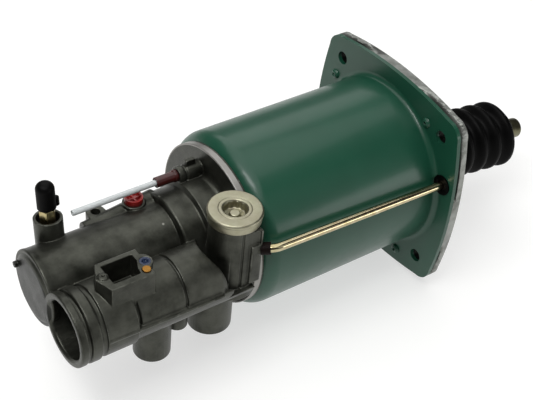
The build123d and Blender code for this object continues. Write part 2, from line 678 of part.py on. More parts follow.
def casting_pillar():
    """The vertical column under the big plug, with its flat pad and parting line."""
    body = rod_z(PILLAR_RADIUS, PILLAR_BOTTOM, PILLAR_TOP, PILLAR_X, PILLAR_Y)
    pad_top = PILLAR_TOP - PAD_TOP_DROP
    pad = block((PAD_FRONT, PAD_Y, PAD_BOTTOM), (PAD_BACK, PILLAR_Y + 8, pad_top))
    pad = fillet(pad.edges().filter_by(Axis.Z).group_by(Axis.Y)[0], 1.0)
    notch_low = (PAD_BACK - PAD_NOTCH_WIDTH, PAD_Y - 1, pad_top - PAD_NOTCH_HEIGHT)
    body += pad - block(notch_low, (PAD_BACK - 1.5, PAD_Y + PAD_NOTCH_DEPTH, pad_top + 1))
    body += block((PILLAR_X, PILLAR_Y - 5, PILLAR_BOTTOM + 4), (DISC_FRONT + 1, PILLAR_Y + 16, PILLAR_TOP - 3))
    body -= block((DISC_FRONT + 1, -CAN_RADIUS, -CAN_RADIUS), (0, CAN_RADIUS, CAN_RADIUS))
    line_low = (PARTING_X - PARTING_WIDTH / 2, PAD_Y - 1, SCOOP_FLOOR)
    body -= block(line_low, (PARTING_X + PARTING_WIDTH / 2, PILLAR_Y - PILLAR_RADIUS + PARTING_DEPTH,
                             PILLAR_TOP + 1))
    return body


def casting_socket():
    """The electrical socket's box, with its pointed end and rounded lug."""
    middle = SOCKET_SCREW_Y
    outline = make_face(Polyline((SOCKET_FRONT, SOCKET_LOW_Y), (SOCKET_BACK, SOCKET_LOW_Y),
                                 (SOCKET_BACK, SOCKET_HIGH_Y),
                                 (SOCKET_FRONT + SOCKET_TIP_INSET, SOCKET_HIGH_Y),
                                 (SOCKET_FRONT - SOCKET_POINT, middle), close=True))
    body = extrude(Pos(0, 0, SOCKET_BOTTOM) * outline, SOCKET_TOP - SOCKET_BOTTOM)
    body += rod_z(MARK_LUG_RADIUS, SOCKET_BOTTOM, SOCKET_TOP, MARK_LUG_X, MARK_LUG_Y)
    return body


def socket_pocket():
    """The socket's open pocket, cut from the casting, with the thick wall that holds ring and bush."""
    front, low_y = SOCKET_FRONT + SOCKET_END_WALL, SOCKET_LOW_Y + SOCKET_FRONT_WALL
    high_y = SOCKET_HIGH_Y - SOCKET_BACK_WALL
    first, second = MARK_WALL_TURNS
    outline = make_face(Polyline((front, low_y), (SOCKET_BACK - MARK_WALL_FAR, low_y),
                                 (SOCKET_BACK - MARK_WALL_MIDDLE, low_y + first),
                                 (SOCKET_BACK - MARK_WALL_NEAR, low_y + second),
                                 (SOCKET_BACK - MARK_WALL_NEAR, high_y), (front, high_y), close=True))
    return extrude(Pos(0, 0, SOCKET_FLOOR) * outline, SOCKET_TOP + 1 - SOCKET_FLOOR)


def casting_port_channel():
    """The tapered channel on the far side of the barrel with the screw lug and the capped port."""
    taper = turned([(CHANNEL_FRONT, 0), (CHANNEL_FRONT, CHANNEL_FRONT_RADIUS),
                    (NECK_FRONT + 4, CHANNEL_BACK_RADIUS), (NECK_FRONT + 4, 0)], (), CHANNEL_Y, CHANNEL_Z)
    boss = rod_z(RED_PORT_BOSS_RADIUS, 0, RED_PORT_TOP, RED_PORT_X, RED_PORT_Y)
    lug = rod_z(LUG_RADIUS, LUG_TOP - LUG_HEIGHT, LUG_TOP, LUG_X, LUG_Y)
    web_low = (LUG_X - LUG_RADIUS, LUG_Y - 14, LUG_TOP - LUG_HEIGHT)
    web = block(web_low, (LUG_X + LUG_RADIUS, LUG_Y, LUG_TOP))
    return taper + boss + lug + web


def at_bleed(solid):
    """Moves a solid from round the Z axis, boss top at 0, to the leaning bleed boss."""
    return Pos(BLEED_X, BLEED_Y, BLEED_BOSS_TOP) * Rot(-BLEED_TILT, 0, 0) * solid


def vent_boss():
    """The boss with a waist and a fin that the vent tube's connector is pressed into."""
    waist = VENT_BOSS_FRONT + VENT_WAIST_FROM_FRONT
    body = rod_x(VENT_BOSS_RADIUS, VENT_BOSS_FRONT, DISC_FRONT + 1, VENT_Y, VENT_Z)
    body -= ring_x(VENT_WAIST_RADIUS, VENT_BOSS_RADIUS + 1, waist, waist + VENT_WAIST_LENGTH, VENT_Y, VENT_Z)
    fin = VENT_BOSS_FRONT + VENT_FIN_FROM_FRONT
    return body + block((fin, VENT_Y - VENT_FIN_WIDTH / 2, VENT_Z),
                        (fin + VENT_FIN_LENGTH, VENT_Y + VENT_FIN_WIDTH / 2, VENT_Z + VENT_FIN_HEIGHT))


def valve_housing():
    """The one-piece casting with everything cut into it."""
    body = casting_neck() + casting_valve_chamber()
    body += casting_pillar()
    body += casting_port_channel()
    body += at_bleed(rod_z(BLEED_BOSS_RADIUS, -BLEED_BOSS_LENGTH, 0))
    body += vent_boss()
    for x, y, radius, bottom in ((INLET_BOSS_X, INLET_BOSS_Y, INLET_BOSS_RADIUS, BOSS_BOTTOM),
                                 (AIR_BOSS_X, AIR_BOSS_Y, AIR_BOSS_RADIUS, BOSS_BOTTOM),
                                 (SMALL_BOSS_X, SMALL_BOSS_Y, SMALL_BOSS_RADIUS, SMALL_BOSS_BOTTOM)):
        boss = rod_z(radius, bottom, SCOOP_FLOOR, x, y)
        boss = chamfer(boss.edges().group_by(Axis.Z)[0], BOSS_CHAMFER)
        body += boss
    body += casting_socket()
    body -= rod_x(MAIN_BORE_RADIUS, MAIN_BORE_END, BUSH_FRONT)
    body -= rod_x(BUSH_RADIUS, BUSH_FRONT, CAN_END + HOUSING_SPIGOT + 1)
    for angle in housing_screw_angles():
        y, z = SCREW_CIRCLE * cos(angle), SCREW_CIRCLE * sin(angle)
        body -= rod_x(HOUSING_SCREW_RADIUS, CAN_END - HOUSING_SCREW_DEPTH - 1, CAN_END + 1, y, z)
    body -= rod_x(MOUTH_BORE_RADIUS, VALVE_FACE - 1, VALVE_FACE + MOUTH_BORE_DEPTH, VALVE_Y, VALVE_Z)
    body -= rod_x(BAFFLE_SEAT_RADIUS, VALVE_FACE, BAFFLE_BACK, VALVE_Y, VALVE_Z)
    body -= rod_x(CHAMBER_BORE_RADIUS, VALVE_FACE, CHAMBER_BORE_END, VALVE_Y, VALVE_Z)
    wide = MOUTH_BORE_RADIUS + MOUTH_CHAMFER
    body -= turned([(VALVE_FACE - 1, 0), (VALVE_FACE - 1, wide + 1), (VALVE_FACE + MOUTH_CHAMFER,
                    MOUTH_BORE_RADIUS), (VALVE_FACE + MOUTH_CHAMFER, 0)], (), VALVE_Y, VALVE_Z)
    body -= socket_pocket()
    body -= rod_z(SOCKET_SCREW_BORE, SOCKET_TOP - 10, SOCKET_TOP, SOCKET_SCREW_X, SOCKET_SCREW_Y)
    body -= rod_z(MARK_RING_RADIUS, SOCKET_TOP - MARK_DEPTH, SOCKET_TOP + 1, MARK_RING_X, MARK_RING_Y)
    body -= rod_z(MARK_BUSH_RADIUS, SOCKET_TOP - MARK_DEPTH, SOCKET_TOP + 1, MARK_BUSH_X, MARK_BUSH_Y)
    body -= at_bleed(rod_z(BLEED_COUNTERBORE_RADIUS, -BLEED_COUNTERBORE_DEPTH, 1))
    body -= at_bleed(rod_z(BLEED_THREAD_RADIUS, -BLEED_SEAT_DEPTH, 0))
    body -= at_bleed(rod_z(BLEED_PORT_RADIUS, -BLEED_PORT_DEPTH, 1 - BLEED_SEAT_DEPTH))
    body -= rod_z(PLUG_SHANK_RADIUS, PILLAR_TOP - PLUG_SHANK_LENGTH - 1, PILLAR_TOP + 1, PILLAR_X, PILLAR_Y)
    body -= rod_z(PILLAR_BORE_RADIUS, PILLAR_BOTTOM + PILLAR_FLOOR, PILLAR_TOP, PILLAR_X, PILLAR_Y)
    body -= plug_seal()
    body -= rod_z(PLUG_RADIUS + PLUG_SPOT_FACE_CLEARANCE, PILLAR_TOP, 2 * CAN_RADIUS, PILLAR_X, PILLAR_Y)
    body -= rod_z(PORT_RADIUS, BOSS_BOTTOM - 1, BOSS_BOTTOM + PORT_DEPTH, INLET_BOSS_X, INLET_BOSS_Y)
    body -= rod_z(AIR_PORT_RADIUS, BOSS_BOTTOM - 1, BOSS_BOTTOM + PORT_DEPTH, AIR_BOSS_X, AIR_BOSS_Y)
    body -= rod_z(LUG_HOLE_RADIUS, LUG_TOP - LUG_HEIGHT - 1, LUG_TOP + 1, LUG_X, LUG_Y)
    body -= rod_z(RED_PORT_BORE, RED_PORT_TOP - RED_PORT_BORE_DEPTH, RED_PORT_TOP + 1, RED_PORT_X, RED_PORT_Y)
    body -= rod_x(VENT_BORE, VENT_BOSS_FRONT - 1, VENT_BOSS_FRONT + VENT_BORE_DEPTH, VENT_Y, VENT_Z)
    body -= rod_x(CROSS_WAY_RADIUS, CHAMBER_BORE_END - 1, PILLAR_X, VALVE_Y, CROSS_WAY_Z)
    body -= rod_z(AIR_WAY_RADIUS, BOSS_BOTTOM, AIR_WAY_TOP, AIR_BOSS_X, AIR_BOSS_Y)
    body -= pipe_bore()
    return body


def pipe_direction():
    """The way the pipe leaves the pad."""
    return (Vector(*PIPE_CORNER) - Vector(*PIPE_START)).normalized()


def pipe_bore():
    """The drilled seat in the pad for the pipe's end."""
    start = Vector(*PIPE_START)
    axis = pipe_direction()
    seat = Plane(origin=start, z_dir=axis)
    return extrude(seat * Circle(PIPE_RADIUS), 30)


def air_pipe():
    """The zinc-plated pipe: one bend, then straight along the can into the flange."""
    start = Vector(*PIPE_START)
    path = FilletPolyline(start, Vector(*PIPE_CORNER), Vector(*PIPE_END), radius=PIPE_BEND_RADIUS)
    section = Plane(origin=start, z_dir=path % 0) * (Circle(PIPE_RADIUS) - Circle(PIPE_BORE))
    return sweep(section, path=path)


def pipe_nut():
    """The collar that seals the pipe where it leaves the pad."""
    axis = pipe_direction()
    share = (PAD_BACK - PIPE_START[0]) / axis.X
    seat = Plane(origin=Vector(*PIPE_START) + axis * share, z_dir=axis)
    ring = Circle(PIPE_NUT_RADIUS) - Circle(PIPE_RADIUS)
    nut = extrude(seat * ring, PIPE_NUT_LENGTH)
    return nut - block((PAD_FRONT, PAD_Y, PAD_BOTTOM), (PAD_BACK, PILLAR_Y, PILLAR_TOP))


def grommet():
    """The rubber grommet round the pipe in the flange and the plate."""
    head = rod_x(GROMMET_HEAD_RADIUS, FLANGE_FACE - GROMMET_HEAD_HEIGHT, FLANGE_FACE, PIPE_Y, PIPE_END_Z)
    body = head + rod_x(GROMMET_RADIUS, FLANGE_FACE, PLATE_FACE + PASSAGE_DEPTH, PIPE_Y, PIPE_END_Z)
    return body - pipe_core()


def pipe_core():
    """The pipe's outside as one solid, for what it passes through."""
    start = Vector(*PIPE_START)
    path = FilletPolyline(start, Vector(*PIPE_CORNER), Vector(*PIPE_END), radius=PIPE_BEND_RADIUS)
    return sweep(Plane(origin=start, z_dir=path % 0) * Circle(PIPE_RADIUS), path=path)


def air_piston():
    """The dished air piston with its rim grooves and the hub that carries the push rod's ball."""
    rim = CAN_BORE - PISTON_CLEARANCE
    rim_back = PISTON_FRONT + PISTON_RIM_WIDTH
    web_back = PISTON_FRONT + PISTON_WEB
    body = turned([(PISTON_FRONT, 0), (PISTON_FRONT, rim), (rim_back, rim), (rim_back, rim - 8),
                   (web_back, rim - 10), (web_back, HUB_RADIUS + 6), (HUB_BACK, HUB_RADIUS), (HUB_BACK, 0)],
                  ((4, 3.0), (5, 4.0)))
    seal_low = PISTON_FRONT + RIM_LAND
    guide_low = seal_low + SEAL_WIDTH + RIM_LAND
    body -= ring_x(rim - SEAL_GROOVE_DEPTH, rim + 1, seal_low, seal_low + SEAL_WIDTH)
    body -= ring_x(rim - SEAL_GROOVE_DEPTH / 2, rim + 1, guide_low, guide_low + GUIDE_RING_WIDTH)
    body -= Pos(BALL_X, 0, 0) * Sphere(BALL_RADIUS + BALL_CLEARANCE)
    body -= rod_x(BALL_RADIUS + BALL_CLEARANCE, BALL_X, HUB_BACK + 1)
    body -= rod_x(SEAT_RING_RADIUS, HUB_BACK - SEAT_RING_THICKNESS, HUB_BACK + 1)
    body -= rod_x(PLUNGER_RADIUS, PISTON_FRONT - 1, PISTON_FRONT + PLUNGER_FOOT_DEPTH)
    return body


def seat_ring():
    """The ring that keeps the ball in its seat."""
    low = HUB_BACK - SEAT_RING_THICKNESS
    return ring_x(SEAT_RING_BORE, SEAT_RING_RADIUS, low, HUB_BACK)


def piston_seal():
    """The air piston's rubber seal."""
    rim = CAN_BORE - PISTON_CLEARANCE
    low = PISTON_FRONT + RIM_LAND
    return ring_x(rim - SEAL_GROOVE_DEPTH, CAN_BORE - RUNNING_CLEARANCE, low, low + SEAL_WIDTH)


def piston_guide_ring():
    """The air piston's guide ring."""
    rim = CAN_BORE - PISTON_CLEARANCE
    low = PISTON_FRONT + 2 * RIM_LAND + SEAL_WIDTH
    return ring_x(rim - SEAL_GROOVE_DEPTH / 2, CAN_BORE - RUNNING_CLEARANCE, low, low + GUIDE_RING_WIDTH)


def hydraulic_plunger():
    """The plunger that joins the hydraulic bore to the air piston."""
    front = PLUNGER_HEAD_BACK - PLUNGER_HEAD_LENGTH
    body = turned([(front, 0), (front, PLUNGER_HEAD_RADIUS), (PLUNGER_HEAD_BACK, PLUNGER_HEAD_RADIUS),
                   (PLUNGER_HEAD_BACK, PLUNGER_RADIUS), (PISTON_FRONT + PLUNGER_FOOT_DEPTH, PLUNGER_RADIUS),
                   (PISTON_FRONT + PLUNGER_FOOT_DEPTH, 0)])
    low = front + 4
    inner = PLUNGER_HEAD_RADIUS - PLUNGER_SEAL_DEPTH
    return body - ring_x(inner, PLUNGER_HEAD_RADIUS + 1, low, low + PLUNGER_SEAL_WIDTH)


def plunger_seal():
    """The plunger's cup seal."""
    low = PLUNGER_HEAD_BACK - PLUNGER_HEAD_LENGTH + 4
    inner = PLUNGER_HEAD_RADIUS - PLUNGER_SEAL_DEPTH
    return ring_x(inner, MAIN_BORE_RADIUS - RUNNING_CLEARANCE, low, low + PLUNGER_SEAL_WIDTH)


def guide_bush():
    """The bush that guides the plunger through the neck."""
    high = BUSH_FRONT + BUSH_LENGTH
    body = ring_x(PLUNGER_RADIUS + BUSH_CLEARANCE, BUSH_RADIUS, BUSH_FRONT, high)
    low = BUSH_FRONT + 8
    return body - ring_x(0, PLUNGER_RADIUS + BUSH_SEAL_DEPTH, low, low + BUSH_SEAL_WIDTH)


def bush_seal():
    """The seal inside the guide bush."""
    low = BUSH_FRONT + 8
    return ring_x(PLUNGER_RADIUS + BUSH_CLEARANCE, PLUNGER_RADIUS + BUSH_SEAL_DEPTH, low,
                  low + BUSH_SEAL_WIDTH)


def push_rod():
    """The push rod with its ball, lying at its droop."""
    body = Sphere(BALL_RADIUS) + rod_x(ROD_RADIUS, 0, ROD_LENGTH)
    tip = body.edges().group_by(Axis.X)[-1]
    body = chamfer(tip, ROD_TIP_CHAMFER)
    low = ROD_GROOVE_FROM_BALL
    body -= ring_x(ROD_RADIUS - ROD_GROOVE_DEPTH, ROD_RADIUS + 1, low, low + ROD_GROOVE_WIDTH)
    return Pos(BALL_X, 0, 0) * Rot(0, ROD_TILT, 0) * body


def boot_centre(x):
    """The height of the boot's middle at x: from the plate's hole to the drooping rod."""
    share = min(max(x / BOOT_SETTLE_LENGTH, 0.0), 1.0)
    return -(x - BALL_X) * tan(TILT) * (3 * share ** 2 - 2 * share ** 3)


def boot_skin(wall, end_radius, start):
    """The boot's outer form, or its inner one with a wall taken off, as ruled bands between rings."""
    crest = BOOT_CREST_WIDTH / 2
    valley = BOOT_VALLEY_WIDTH / 2
    rings = [(start, BOOT_VALLEY_RADIUS), (0, BOOT_VALLEY_RADIUS)]
    for number in range(BOOT_RIBS):
        x = BOOT_FIRST_RIB + BOOT_PITCH * number
        rings += [(x - crest, BOOT_RIB_RADIUS), (x + crest, BOOT_RIB_RADIUS)]
        if number < BOOT_RIBS - 1:
            middle = x + BOOT_PITCH / 2
            rings += [(middle - valley, BOOT_VALLEY_RADIUS), (middle + valley, BOOT_VALLEY_RADIUS)]
    shoulder = rings[-1][0] + BOOT_SHOULDER_LENGTH
    sections = [(x, radius - wall) for x, radius in rings]
    sections += [(shoulder - wall, end_radius), (shoulder + BOOT_END_LENGTH + wall / 2, end_radius)]
    return loft([Plane(origin=(x, 0, boot_centre(x)), x_dir=(0, 1, 0), z_dir=(1, 0, 0)) * Circle(radius)
                 for x, radius in sections], ruled=True)


def dust_boot():
    """The bellows boot, with its collar through the plate and its lip behind it."""
    collar = PLATE_HOLE_RADIUS - BOOT_SEAT_GAP
    lip_back = PLATE_FACE - BOOT_SEAT_GAP
    body = boot_skin(0.0, ROD_RADIUS + BOOT_END_WALL, PLATE_FACE)
    body += rod_x(collar, lip_back - BOOT_LIP_THICKNESS, BOOT_SEAT_GAP)
    body += rod_x(BOOT_LIP_RADIUS, lip_back - BOOT_LIP_THICKNESS, lip_back)
    return body - boot_skin(BOOT_WALL, ROD_RADIUS + BOOT_GRIP_GAP, 2 * PLATE_FACE)


def preload_spring():
    """The spring that pushes the plunger out of the hydraulic bore."""
    high = PLUNGER_HEAD_BACK - PLUNGER_HEAD_LENGTH
    return spring_x(PRELOAD_WIRE, PRELOAD_COIL, MAIN_BORE_END, high, PRELOAD_TURNS)


def bleed_screw():
    """The bleed screw: seat cone, shank, hexagon and nipple."""
    hex_low = BLEED_HEX_SINK - BLEED_COUNTERBORE_DEPTH
    hex_high = hex_low + BLEED_HEX_HEIGHT
    neck = BLEED_NIPPLE_RADIUS - BLEED_NECK_STEP
    body = turned_z([(0, -BLEED_SEAT_DEPTH), (BLEED_PORT_RADIUS, -BLEED_SEAT_DEPTH),
                     (BLEED_THREAD_RADIUS, BLEED_CONE - BLEED_SEAT_DEPTH), (BLEED_THREAD_RADIUS, hex_high),
                     (neck, hex_high + 1), (neck, BLEED_TIP_RISE - 5),
                     (BLEED_NIPPLE_RADIUS, BLEED_TIP_RISE - 4), (neck, BLEED_TIP_RISE), (0, BLEED_TIP_RISE)])
    hexagon = RegularPolygon(BLEED_HEX / 2, 6, major_radius=False)
    head = Pos(0, 0, hex_low) * extrude(hexagon, BLEED_HEX_HEIGHT)
    dome = turned_z([(0, hex_low - 1), (BLEED_HEX, hex_low - 1), (BLEED_HEX, hex_high - BLEED_HEX / 2),
                     (BLEED_HEX / 2 - 1, hex_high), (0, hex_high)])
    return at_bleed(body + (head & dome))


def bleed_cap():
    """The rubber cap on the bleed nipple, with the thick end of its strap."""
    body = rod_z(CAP_RADIUS, CAP_BOTTOM, CAP_TOP)
    body = fillet(body.edges().group_by(Axis.Z)[-1], CAP_RADIUS * CAP_CROWN)
    body += rod_z(CAP_BULGE, CAP_BOTTOM, CAP_BOTTOM + 2 * CAP_BULGE, CAP_RADIUS, 0)
    bore = BLEED_NIPPLE_RADIUS + CAP_BORE_CLEARANCE
    throat = turned_z([(0, CAP_BOTTOM - 1), (bore, CAP_BOTTOM - 1), (bore, BLEED_TIP_RISE + CAP_BORE_CLEARANCE),
                       (0, BLEED_TIP_RISE + CAP_BORE_CLEARANCE)])
    return at_bleed(body - throat)


def valve_plug():
    """The zinc-plated screw plug on the pillar."""
    top = PILLAR_TOP + PLUG_HEIGHT
    shank_low = PILLAR_TOP - PLUG_SHANK_LENGTH
    lip = PLUG_RECESS_RADIUS + PLUG_LIP_WIDTH
    floor = top - PLUG_RECESS_DEPTH
    return turned_z([(0, shank_low), (PLUG_SHANK_RADIUS, shank_low), (PLUG_SHANK_RADIUS, PILLAR_TOP),
                     (PLUG_RADIUS, PILLAR_TOP), (PLUG_RADIUS, top - PLUG_CHAMFER),
                     (PLUG_RADIUS - PLUG_CHAMFER, top), (PLUG_GROOVE_OUTER, top),
                     (PLUG_GROOVE_OUTER, top - PLUG_GROOVE_DEPTH),
                     (PLUG_GROOVE_INNER, top - PLUG_GROOVE_DEPTH), (PLUG_GROOVE_INNER, top),
                     (lip, top), (lip, top + PLUG_LIP_HEIGHT), (PLUG_RECESS_RADIUS, top + PLUG_LIP_HEIGHT),
                     (PLUG_RECESS_RADIUS, floor), (PLUG_HUB_RADIUS, floor),
                     (PLUG_HUB_RADIUS, floor + PLUG_HUB_HEIGHT), (0, floor + PLUG_HUB_HEIGHT)],
                    PILLAR_X, PILLAR_Y)


def plug_seal():
    """The sealing ring under the plug's head."""
    outer = PLUG_SHANK_RADIUS + PLUG_SEAL_WIDTH
    low = PILLAR_TOP - PLUG_SEAL_DEPTH
    return turned_z([(PLUG_SHANK_RADIUS, low), (outer, low), (outer, PILLAR_TOP),
                     (PLUG_SHANK_RADIUS, PILLAR_TOP)], PILLAR_X, PILLAR_Y)


def vent_tube():
    """The stiff plastic vent tube."""
    high = VENT_BOSS_FRONT - CONNECTOR_LENGTH + VENT_TUBE_SEAT
    return ring_x(VENT_TUBE_RADIUS - VENT_TUBE_WALL, VENT_TUBE_RADIUS, VENT_TUBE_FRONT, high, VENT_Y, VENT_Z)


def vent_connector():
    """The red connector between the tube and the casting."""
    front = VENT_BOSS_FRONT - CONNECTOR_LENGTH
    seat = front + VENT_TUBE_SEAT
    shank = VENT_BORE - CONNECTOR_CLEARANCE
    end = VENT_BOSS_FRONT + CONNECTOR_SHANK_LENGTH
    collar = VENT_BOSS_FRONT - CONNECTOR_COLLAR_LENGTH
    hole = VENT_TUBE_RADIUS - VENT_TUBE_WALL
    return turned([(front, VENT_TUBE_RADIUS + PRESS_CLEARANCE), (front, CONNECTOR_RADIUS),
                   (collar, CONNECTOR_RADIUS), (collar, CONNECTOR_COLLAR_RADIUS),
                   (VENT_BOSS_FRONT, CONNECTOR_COLLAR_RADIUS), (VENT_BOSS_FRONT, shank), (end, shank),
                   (end, hole), (seat, hole), (seat, VENT_TUBE_RADIUS + PRESS_CLEARANCE)], (), VENT_Y, VENT_Z)


def port_plug():
    """The red plastic plug in the port beside the barrel."""
    top = RED_PORT_TOP + RED_CAP_HEIGHT
    shank = RED_PORT_BORE - RED_CAP_CLEARANCE
    low = RED_PORT_TOP - RED_CAP_SHANK_LENGTH
    floor = top - RED_CAP_RECESS_DEPTH
    body = turned_z([(0, low), (shank, low), (shank, RED_PORT_TOP), (RED_CAP_RADIUS, RED_PORT_TOP),
                     (RED_CAP_RADIUS, top), (RED_CAP_RECESS, top), (RED_CAP_RECESS, floor), (0, floor)],
                    RED_PORT_X, RED_PORT_Y)
    half = RED_CAP_RIB / 2
    low_corner = (RED_PORT_X - RED_CAP_RECESS, RED_PORT_Y - half, floor)
    body += block(low_corner, (RED_PORT_X + RED_CAP_RECESS, RED_PORT_Y + half, top - RED_CAP_RIB))
    low_corner = (RED_PORT_X - half, RED_PORT_Y - RED_CAP_RECESS, floor)
    body += block(low_corner, (RED_PORT_X + half, RED_PORT_Y + RED_CAP_RECESS, top - RED_CAP_RIB))
    return body


def control_piston():
    """The control piston with its stem."""
    back = CONTROL_PISTON_BACK
    radius = CHAMBER_BORE_RADIUS - RUNNING_CLEARANCE
    body = rod_x(radius, CONTROL_PISTON_FRONT, back, VALVE_Y, VALVE_Z)
    body += rod_x(CONTROL_STEM_RADIUS, back, back + CONTROL_STEM_LENGTH, VALVE_Y, VALVE_Z)
    low = CONTROL_PISTON_FRONT + 4
    groove = ring_x(radius - SMALL_SEAL_DEPTH, radius + 1, low, low + SMALL_SEAL_WIDTH, VALVE_Y, VALVE_Z)
    return body - groove


def control_piston_seal():
    """The control piston's seal."""
    low = CONTROL_PISTON_FRONT + 4
    radius = CHAMBER_BORE_RADIUS - RUNNING_CLEARANCE
    return ring_x(radius - SMALL_SEAL_DEPTH, radius, low, low + SMALL_SEAL_WIDTH, VALVE_Y, VALVE_Z)


def control_spring():
    """The spring that returns the control piston."""
    low = CONTROL_PISTON_BACK + SPRING_SEAT_GAP
    return spring_x(CONTROL_WIRE, CONTROL_COIL, low, SLEEVE_FRONT - SPRING_SEAT_GAP, CONTROL_TURNS,
                    VALVE_Y, VALVE_Z)


def valve_seat_sleeve():
    """The sleeve whose back face is the inlet valve's seat."""
    return ring_x(SLEEVE_BORE_RADIUS, CHAMBER_BORE_RADIUS - PRESS_CLEARANCE, SLEEVE_FRONT,
                  SLEEVE_FRONT + SLEEVE_LENGTH, VALVE_Y, VALVE_Z)


def inlet_valve():
    """The inlet valve: nose, head and guide stem."""
    back = INLET_HEAD_BACK
    head = INLET_HEAD_FRONT
    return turned([(SLEEVE_FRONT, 0), (SLEEVE_FRONT, INLET_NOSE_RADIUS), (head, INLET_NOSE_RADIUS),
                   (head, INLET_HEAD_RADIUS), (back, INLET_HEAD_RADIUS), (back, INLET_STEM_RADIUS),
                   (back + INLET_STEM_LENGTH, INLET_STEM_RADIUS), (back + INLET_STEM_LENGTH, 0)],
                  (), VALVE_Y, VALVE_Z)


def inlet_spring():
    """The spring that closes the inlet valve."""
    high = CHAMBER_BORE_END - RETAINER_LENGTH - SPRING_SEAT_GAP
    return spring_x(INLET_WIRE, INLET_COIL, INLET_HEAD_BACK + SPRING_SEAT_GAP, high, INLET_TURNS,
                    VALVE_Y, VALVE_Z)


def spring_retainer():
    """The guide at the bottom of the valve chamber."""
    return ring_x(INLET_STEM_RADIUS + RUNNING_CLEARANCE, CHAMBER_BORE_RADIUS - PRESS_CLEARANCE,
                  CHAMBER_BORE_END - RETAINER_LENGTH, CHAMBER_BORE_END, VALVE_Y, VALVE_Z)


def exhaust_baffle():
    """The perforated plate at the bottom of the exhaust mouth."""
    back = BAFFLE_BACK
    radius = BAFFLE_SEAT_RADIUS - PRESS_CLEARANCE
    body = rod_x(radius, back - BAFFLE_THICKNESS, back, VALVE_Y, VALVE_Z)
    for place in range(BAFFLE_HOLES):
        angle = radians(360 / BAFFLE_HOLES * place)
        y, z = VALVE_Y + BAFFLE_HOLE_CIRCLE * cos(angle), VALVE_Z + BAFFLE_HOLE_CIRCLE * sin(angle)
        body -= rod_x(BAFFLE_HOLE_RADIUS, back - BAFFLE_THICKNESS - 1, back + 1, y, z)
    return body


def baffle_ring():
    """The split ring that holds the baffle."""
    back = BAFFLE_BACK - BAFFLE_THICKNESS
    radius = BAFFLE_SEAT_RADIUS - PRESS_CLEARANCE
    body = ring_x(radius - MOUTH_RING_WALL, radius, back - MOUTH_RING_WIDTH, back, VALVE_Y, VALVE_Z)
    half = MOUTH_RING_GAP / 2
    gap_low = (back - MOUTH_RING_WIDTH - 1, VALVE_Y - half, VALVE_Z + radius / 2)
    return body - block(gap_low, (back + 1, VALVE_Y + half, VALVE_Z + radius + 1))


def lug_screw():
    """The blue-marked screw in the socket's lug."""
    radius = MARK_RING_RADIUS - MARK_CLEARANCE
    low = SOCKET_TOP - MARK_DEPTH
    body = rod_z(radius, low, SOCKET_TOP - 0.3, MARK_RING_X, MARK_RING_Y)
    return body - rod_z(radius * 0.55, SOCKET_TOP - MARK_DEPTH / 2, SOCKET_TOP, MARK_RING_X, MARK_RING_Y)


def lug_bush():
    """The small brass bush in the socket's lug."""
    radius = MARK_BUSH_RADIUS - MARK_CLEARANCE
    body = rod_z(radius, SOCKET_TOP - MARK_DEPTH, SOCKET_TOP + MARK_BUSH_RISE, MARK_BUSH_X, MARK_BUSH_Y)
    return fillet(body.edges().group_by(Axis.Z)[-1], MARK_BUSH_RISE * 0.6)


PARTS = {
    "air_cylinder_can": can,
    "mounting_plate": plate,
    "can_gasket": gasket,
    "plate_screws": plate_screws,
    "housing_screws": housing_screws,
    "valve_housing": valve_housing,
    "valve_plug": valve_plug,
    "plug_seal_ring": plug_seal,
    "bleed_screw": bleed_screw,
    "bleed_cap": bleed_cap,
    "air_pipe": air_pipe,
    "pipe_nut": pipe_nut,
    "pipe_grommet": grommet,
    "vent_tube": vent_tube,
    "vent_connector": vent_connector,
    "port_plug": port_plug,
    "lug_screw": lug_screw,
    "lug_bush": lug_bush,
    "exhaust_baffle": exhaust_baffle,
    "baffle_ring": baffle_ring,
    "control_piston": control_piston,
    "control_piston_seal": control_piston_seal,
    "control_spring": control_spring,
    "valve_seat_sleeve": valve_seat_sleeve,
    "inlet_valve": inlet_valve,
    "inlet_spring": inlet_spring,
    "spring_retainer": spring_retainer,
    "guide_bush": guide_bush,
    "bush_seal": bush_seal,
    "air_piston": air_piston,
    "seat_ring": seat_ring,
    "piston_seal": piston_seal,
    "piston_guide_ring": piston_guide_ring,
    "hydraulic_plunger": hydraulic_plunger,
    "plunger_seal": plunger_seal,
    "preload_spring": preload_spring,
    "push_rod": push_rod,
    "dust_boot": dust_boot,
}

os.makedirs("parts", exist_ok=True)
for node, make in PARTS.items():
    export_step(make(), f"parts/{node}.step")
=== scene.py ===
"""Looks of an air-assisted hydraulic clutch servo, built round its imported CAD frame.

Sizes in the classes are millimetres in the CAD frame: X along the cylinder to the push rod, Z up.
Angles are degrees. Meshes are in metres.
"""
import json
import logging
import math
from dataclasses import dataclass, field
from enum import Enum
from typing import Any, Sequence

import bmesh
import bpy
from mathutils import Matrix, Vector

